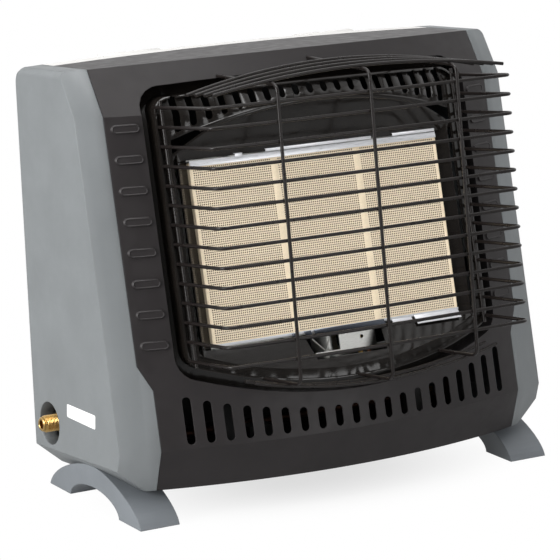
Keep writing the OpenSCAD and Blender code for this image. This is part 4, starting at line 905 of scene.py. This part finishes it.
class HEATER_OT_inlet(bpy.types.Operator):
    """Cuts the flare fitting with its thread, hexagon, body and neck"""

    bl_idname = "heater.inlet"
    bl_label = "Gas inlet"

    def execute(self, context):
        s = context.scene.heater_inlet
        root = s.thread_d / 2 - s.thread_deep
        bore, hex_r, body_r, neck_r = (d / 2 for d in (s.bore, s.hex_d, s.body_d, s.neck_d))
        tip, thread = s.tip_x, s.tip_x + s.nose
        hexagon = thread + s.thread_len
        body, bracket = hexagon + s.hex_len, s.bracket_x
        # the small numbers from here on are the chamfers, in millimetres
        rings = self.turned((tip + BORE_DEEP, bore), (tip + 0.4, bore), (tip, bore + 0.4),
                            (tip, root - 1.3), (tip + 0.9, root - 0.5), (thread - 0.4, root - 0.5),
                            (thread - 0.2, root))
        steps = int(s.thread_len / s.pitch * THREAD_STEPS)
        for i in range(steps + 1):
            x = thread + s.thread_len * i / steps
            rings.append(self.ring(x, lambda turn: self.thread_radius(s, x, thread, hexagon, turn)))
        flat = hex_r * math.cos(math.pi / 6)
        for x, limit in ((hexagon + STEP, flat - 0.4), (hexagon + 0.9, hex_r), (body - 0.9, hex_r),
                         (body, flat - 0.2)):
            rings.append(self.ring(x, lambda turn: min(limit, self.hexagon(flat, turn))))
        rings += self.turned((body + STEP, body_r - 0.3), (body + 0.3, body_r), (bracket - 0.5, body_r),
                             (bracket, body_r - 0.5), (bracket + STEP, neck_r),
                             (bracket + NECK_LEN, neck_r))
        bm = bmesh.new()
        skin(bm, rings)
        bm.transform(BODY @ Matrix.Translation((0, s.y, s.z)))
        piece = mesh_object("flare_fitting", bm, ["inlet_fitting"])
        dress(piece, turned_brass("fitting_brass", context.scene.heater_finishes.brass))
        return {"FINISHED"}

    def ring(self, x, radius):
        """A ring of points about X, with a radius for each share of a turn."""
        points = []
        for k in range(TURNED_SIDES):
            turn = k / TURNED_SIDES
            r, a = radius(turn), math.tau * turn
            points.append((x, r * math.sin(a), r * math.cos(a)))
        return points

    def turned(self, *places):
        """Round rings at (x, radius) places."""
        return [self.ring(x, lambda turn: r) for x, r in places]

    def thread_radius(self, s, x, start, end, turn):
        """Radius of a right-hand 60 degree thread that runs out at both ends."""
        phase = (x / s.pitch - turn) % 1
        rise = min(1, 1.15 * (1 - abs(2 * phase - 1)))
        ends = min(1, (x - start) / s.pitch, 0.35 + (end - x) / s.pitch)
        return s.thread_d / 2 - s.thread_deep * max(1 - rise, 1 - ends)

    def hexagon(self, flat, turn):
        """Radius of a hexagon whose corners point up and down, from the radius to its flats."""
        return flat / math.cos(math.radians((turn * 360) % 60 - 30))


class HEATER_OT_pads(bpy.types.Operator):
    """Presses the rounded pads out of the front panel, beside the window"""

    bl_idname = "heater.pads"
    bl_label = "Pressed pads"

    def execute(self, context):
        s = context.scene.heater_pads
        panel = frame["nodes"]["front_panel"]
        surface = surface_of(panel)
        bm = bmesh.new()
        for side in (-1, 1):
            for i in range(s.count):
                z = s.mid_z + (i - (s.count - 1) / 2) * s.pitch
                self.pad(bm, s, side * s.x, z, surface)
        dress(mesh_object("pressed_pads", bm), panel.data.materials[0])
        return {"FINISHED"}

    def pad(self, bm, s, x, z, surface):
        """Rings of a flat-topped pad, laid on the panel and lifted off it."""
        straight = (s.length - s.height) / 2
        half = [math.pi * (k / PAD_TURNS - 0.5) for k in range(PAD_TURNS + 1)]
        rings = []
        for inset, lift in PAD_SLOPE:
            r = s.height / 2 - inset
            ring = [(straight + r * math.cos(a), r * math.sin(a)) for a in half]
            ring += [(-u, -v) for u, v in ring]
            out = BACKWARDS * s.rise * lift * MM
            rings.append([on_front(surface, x + u, z + v) - out for u, v in ring])
        top = skin(bm, rings, closed=False)[-1]
        for k in range(PAD_TURNS):
            bm.faces.new((top[k], top[k + 1], top[-2 - k], top[-1 - k]))


class HEATER_OT_roll(bpy.types.Operator):
    """Rolls the lower edge of the bezel's arched field"""

    bl_idname = "heater.roll"
    bl_label = "Rolled edge"

    def execute(self, context):
        s = context.scene.heater_roll
        bezel = frame["nodes"]["window_bezel"]
        surface = surface_of(bezel)
        sunk = BODY.to_3x3() @ Vector((0, s.wire_d * 0.3, -ROLL_BELOW - s.wire_d * 0.2))
        path = []
        for i in range(ROLL_STEPS + 1):
            x = s.half * (2 * i / ROLL_STEPS - 1)
            z = s.arch_z - (s.arch_r - math.sqrt(s.arch_r ** 2 - x * x))
            path.append(on_front(surface, x, z + ROLL_BELOW) + sunk)
        roll = wire_object("arch_roll", [path], s.wire_d / 2 * MM)
        dress(roll, bezel.data.materials[0])
        return {"FINISHED"}


class HEATER_OT_plate(bpy.types.Operator):
    """Sticks the blank white plate on the left end cap"""

    bl_idname = "heater.plate"
    bl_label = "Blank plate"

    def execute(self, context):
        first, *others = PLATE_CORNERS
        start = tuple((Vector(first) + Vector(others[0])) / 2)
        outline = rounded([start, *others, first, start], PLATE_CORNER_R, 5)[:-1]
        bm = bmesh.new()
        plate(bm, outline, 0, PLATE_THICK)
        soften(bm, PLATE_EDGE)
        side = Matrix(((0, 0, -1, -CAP_X), (1, 0, 0, 0), (0, 1, 0, 0), (0, 0, 0, 1)))
        bm.transform(BODY @ side)
        piece = mesh_object("blank_plate", bm)
        dress(piece, plain_sheet("plain_white_stock", (0.86, 0.86, 0.86)))
        return {"FINISHED"}


# ---- finishes of the CAD pieces

# Widths of the rounded edges in millimetres, and the CAD nodes that have them.
EDGES = {
    1.5: "left_foot right_foot",
    1.25: "left_end_cap right_end_cap",
    1.2: "handle_grip",
    0.9: "carry_handle",
    0.8: "control_knob igniter_button",
    0.7: "handle_brackets",
    0.5: "gas_valve",
    0.4: "igniter_body foot_pads",
    0.3: "inlet_nut",
    0.2: "window_bezel case_screws foot_screws",
}


def finishes(f):
    """Every finish of the CAD nodes, and the nodes that wear it."""
    # Painted shade: the near-black stands for the shade in the casing, on the rear cover's inner faces,
    # the base tray and the burner brackets.
    inner_shade_black, drawn = (0.012, 0.012, 0.012), (4, 40, 40)
    return (
        (powder_coat("charcoal_powder_coat", f.panel), "front_panel"),
        (moulded_plastic("grey_cap_moulding", f.caps), "left_end_cap right_end_cap"),
        (moulded_plastic("grey_foot_moulding", f.feet, 0.42), "left_foot right_foot"),
        (coated_outside("pale_cover_coat", f.cover, inner_shade_black, 0.42), "rear_cover"),
        (moulded_plastic("pale_bracket_moulding", f.cover, 0.45), "handle_brackets"),
        (powder_coat("shaded_tray_black", inner_shade_black, 0.5), "base_tray burner_brackets"),
        (rubber("foot_pad_rubber", (0.018, 0.018, 0.018)), "foot_pads"),
        (bare_metal("blackened_screw", (0.06, 0.06, 0.062), 0.38),
         "case_screws foot_screws handle_pins"),
        (enamel("bezel_enamel", f.enamel, 0.16), "window_bezel"),
        (enamel("reflector_enamel", f.enamel, 0.1),
         "reflector_top reflector_bottom reflector_left reflector_right"),
        (bare_metal("aluminised_sheet", (0.52, 0.52, 0.50), 0.4, (8, 8, 60)),
         "burner_box mixing_tube pilot_bracket inlet_bracket"),
        (turned_brass("turned_brass", f.brass),
         "gas_jet pilot_burner inlet_nut pipe_elbow spring_collar valve_spindle"),
        (bare_metal("drawn_copper", (0.62, 0.30, 0.18), 0.34, drawn), "thermocouple burner_pipe"),
        # Painted shade: the supply and valve pipes are darkened copper, standing for the shade they lie
        # in within the casing.
        (bare_metal("shaded_copper", (0.10, 0.05, 0.035), 0.5, drawn), "supply_pipe valve_pipe"),
        (bare_metal("cast_alloy", (0.52, 0.52, 0.53), 0.46, (30, 30, 30)), "gas_valve"),
        (bare_metal("spring_wire", (0.55, 0.55, 0.57), 0.28), "valve_spring"),
        (glazed_ceramic("glazed_insulator", (0.84, 0.83, 0.78)), "spark_electrode"),
        (moulded_plastic("black_knob_moulding", (0.022, 0.022, 0.023), 0.4),
         "control_knob igniter_body tilt_switch"),
        (moulded_plastic("red_button_moulding", (0.40, 0.02, 0.016), 0.32), "igniter_button"),
        (powder_coat("handle_coat", (0.03, 0.029, 0.029), 0.4), "carry_handle"),
        (moulded_plastic("grip_moulding", (0.026, 0.026, 0.027), 0.55, 0.0002), "handle_grip"),
    )


class HEATER_OT_finishes(bpy.types.Operator):
    """Gives every piece of the casing and the gas train its finish and its edges"""

    bl_idname = "heater.finishes"
    bl_label = "Finishes"

    def execute(self, context):
        for material, wearers in finishes(context.scene.heater_finishes):
            for node in wearers.split():
                dress(frame["nodes"][node], material)
        for width, wearers in EDGES.items():
            for node in wearers.split():
                round_edges(frame["nodes"][node], width * MM)
        return {"FINISHED"}


# ---- stage

# Lengths in metres. Around the heater the floor turns plain white between two distances, from the least
# share of white, in an oval; in gloss it is greyer, as if dark cards stood around the heater.
FLOOR_HALF = 6
FLOOR_COLOUR = (0.93, 0.93, 0.93)
FLOOR_FADE, FLOOR_LEAST, FLOOR_OVAL = (0.02, 0.25), 0.70, (1, 1.7, 1)
FLOOR_GREYER = 0.5
ROOM_FADE = (-0.75, -0.2)  # Y of the directions between which the dark room in front turns white
LAMP_AIM = (0, 0, 0.2)
CAMERA_AIM = (-0.02673, 0, 0.19505)  # the view's middle, from the body frame's origin
SENSOR = 36  # width in millimetres


class HEATER_OT_stage(bpy.types.Operator):
    """Sets the floor, the surroundings, the lights and the camera"""

    bl_idname = "heater.stage"
    bl_label = "Studio"

    def execute(self, context):
        s = context.scene.heater_studio
        self.floor()
        self.surroundings(context.scene, s)
        self.lamp("key", (-2.6, -0.22, 0.95), s.key_watts, (1.1, 1.5))
        self.lamp("fill", (0.9, -2.4, 0.75), s.fill_watts, (1.0, 1.2))
        self.lamp("top", (-0.2, -0.2, 2.3), s.top_watts, (1.6, 1.2))
        self.camera(context.scene, s)
        return {"FINISHED"}

    def floor(self):
        """White floor that shows the eye a faint shadow and fades into the white surroundings."""
        mesh = bpy.data.meshes.new("floor")
        corners = [(x * FLOOR_HALF, y * FLOOR_HALF, 0) for x, y in ((-1, -1), (1, -1), (1, 1), (-1, 1))]
        mesh.from_pydata(corners, [], [(0, 1, 2, 3)])
        obj = bpy.data.objects.new("floor", mesh)
        bpy.context.scene.collection.objects.link(obj)
        n = new_finish("studio_floor")
        n.set(Roughness=0.9, Specular_IOR_Level=0.0)
        n.vary(FLOOR_COLOUR, n.noise(3, 1), 0.004)
        away = n.add("ShaderNodeVectorMath", operation="LENGTH")
        n.link(n.stretch(*FLOOR_OVAL), away.inputs[0])
        plain = n.fade(away.outputs["Value"], *FLOOR_FADE, FLOOR_LEAST, 1.0)
        gloss = n.add("ShaderNodeLightPath").outputs["Is Glossy Ray"]
        white, mix = n.add("ShaderNodeEmission"), n.add("ShaderNodeMixShader")
        strength = n.math("SUBTRACT", 1.0, n.math("MULTIPLY", gloss, FLOOR_GREYER))
        n.link(strength, white.inputs["Strength"])
        n.link(n.math("MAXIMUM", n.math("MULTIPLY", plain, n.seen_plainly()), gloss), mix.inputs[0])
        n.link(n.shader.outputs[0], mix.inputs[1])
        n.link(white.outputs[0], mix.inputs[2])
        n.link(mix.outputs[0], n.tree.nodes["Material Output"].inputs["Surface"])
        dress(obj, n.owner)

    def surroundings(self, scene, s):
        """White to the eye; even and weaker as light; gloss also sees a dark room in front."""
        scene.world = bpy.data.worlds.new("studio")
        n = Nodes(scene.world)
        background = n.tree.nodes["Background"]
        background.inputs["Color"].default_value = (1, 1, 1, 1)
        room = n.fade(n.split(n.coordinates["Generated"])["Y"], *ROOM_FADE, s.dark_front, 1.0)
        ray = n.add("ShaderNodeLightPath").outputs
        strength = n.add("ShaderNodeMix")
        strength.inputs["A"].default_value = s.ambient
        n.link(n.seen_plainly(), strength.inputs["Factor"])
        n.link(n.math("MAXIMUM", ray["Is Camera Ray"], room), strength.inputs["B"])
        n.link(strength.outputs["Result"], background.inputs["Strength"])

    def lamp(self, name, place, watts, sides):
        """A rectangular light that shines on the heater's middle."""
        light = bpy.data.lights.new(name, "AREA")
        light.shape = "RECTANGLE"
        light.energy = watts
        light.size, light.size_y = sides
        obj = bpy.data.objects.new(name, light)
        bpy.context.scene.collection.objects.link(obj)
        obj.location = place
        obj.rotation_euler = (Vector(LAMP_AIM) - Vector(place)).to_track_quat("-Z", "Y").to_euler()

    def camera(self, scene, s):
        """Looks from azimuth and elevation at the middle of the view."""
        aim = BODY.translation + Vector(CAMERA_AIM)
        az, el, roll = (math.radians(v) for v in (s.azimuth, s.elevation, s.roll))
        back = Vector((math.sin(az) * math.cos(el), -math.cos(az) * math.cos(el), math.sin(el)))
        right = (-back).cross(Vector((0, 0, 1))).normalized()
        up = right.cross(-back)
        right, up = (math.cos(roll) * right + math.sin(roll) * up,
                     math.cos(roll) * up - math.sin(roll) * right)
        lens = bpy.data.cameras.new("camera")
        lens.lens = s.lens
        lens.sensor_width = SENSOR
        lens.clip_end = 50
        obj = bpy.data.objects.new("camera", lens)
        scene.collection.objects.link(obj)
        turn = Matrix((right, up, back)).transposed().to_4x4()
        obj.matrix_world = Matrix.Translation(aim + back * s.distance) @ turn
        scene.camera = obj
        scene.view_settings.view_transform = "Standard"


# ---- panel and run


class HEATER_PT_panel(bpy.types.Panel):
    """Lists the heater's operators and settings"""

    bl_label = "Heater"
    bl_idname = "HEATER_PT_panel"
    bl_space_type = "VIEW_3D"
    bl_region_type = "UI"
    bl_category = "Heater"

    def draw(self, context):
        for operator in OPERATORS:
            self.layout.operator(operator.bl_idname)
        for group in GROUPS:
            box = self.layout.box()
            settings = getattr(context.scene, group)
            for name in settings.__annotations__:
                box.prop(settings, name)


OPERATORS = (HEATER_OT_stage, HEATER_OT_finishes, HEATER_OT_plaques, HEATER_OT_rim, HEATER_OT_guard,
             HEATER_OT_inlet, HEATER_OT_pads, HEATER_OT_roll, HEATER_OT_plate)
GROUPS = {
    "heater_finishes": HeaterFinishes,
    "heater_guard": GuardSizes,
    "heater_plaques": PlaqueSizes,
    "heater_inlet": InletSizes,
    "heater_pads": PadSizes,
    "heater_roll": RollSizes,
    "heater_studio": StudioSettings,
}


def register():
    for cls in (*GROUPS.values(), *OPERATORS, HEATER_PT_panel):
        bpy.utils.register_class(cls)
    for name, group in GROUPS.items():
        setattr(bpy.types.Scene, name, PointerProperty(type=group))


def unregister():
    for name in GROUPS:
        delattr(bpy.types.Scene, name)
    for cls in (HEATER_PT_panel, *OPERATORS, *GROUPS.values()):
        bpy.utils.unregister_class(cls)


def main():
    register()
    bpy.ops.heater.stage()
    bpy.ops.heater.finishes()
    bpy.ops.heater.plaques()
    bpy.ops.heater.rim()
    bpy.ops.heater.guard()
    bpy.ops.heater.inlet()
    bpy.ops.heater.pads()
    bpy.ops.heater.roll()
    bpy.ops.heater.plate()


if __name__ == "__main__":
    main()
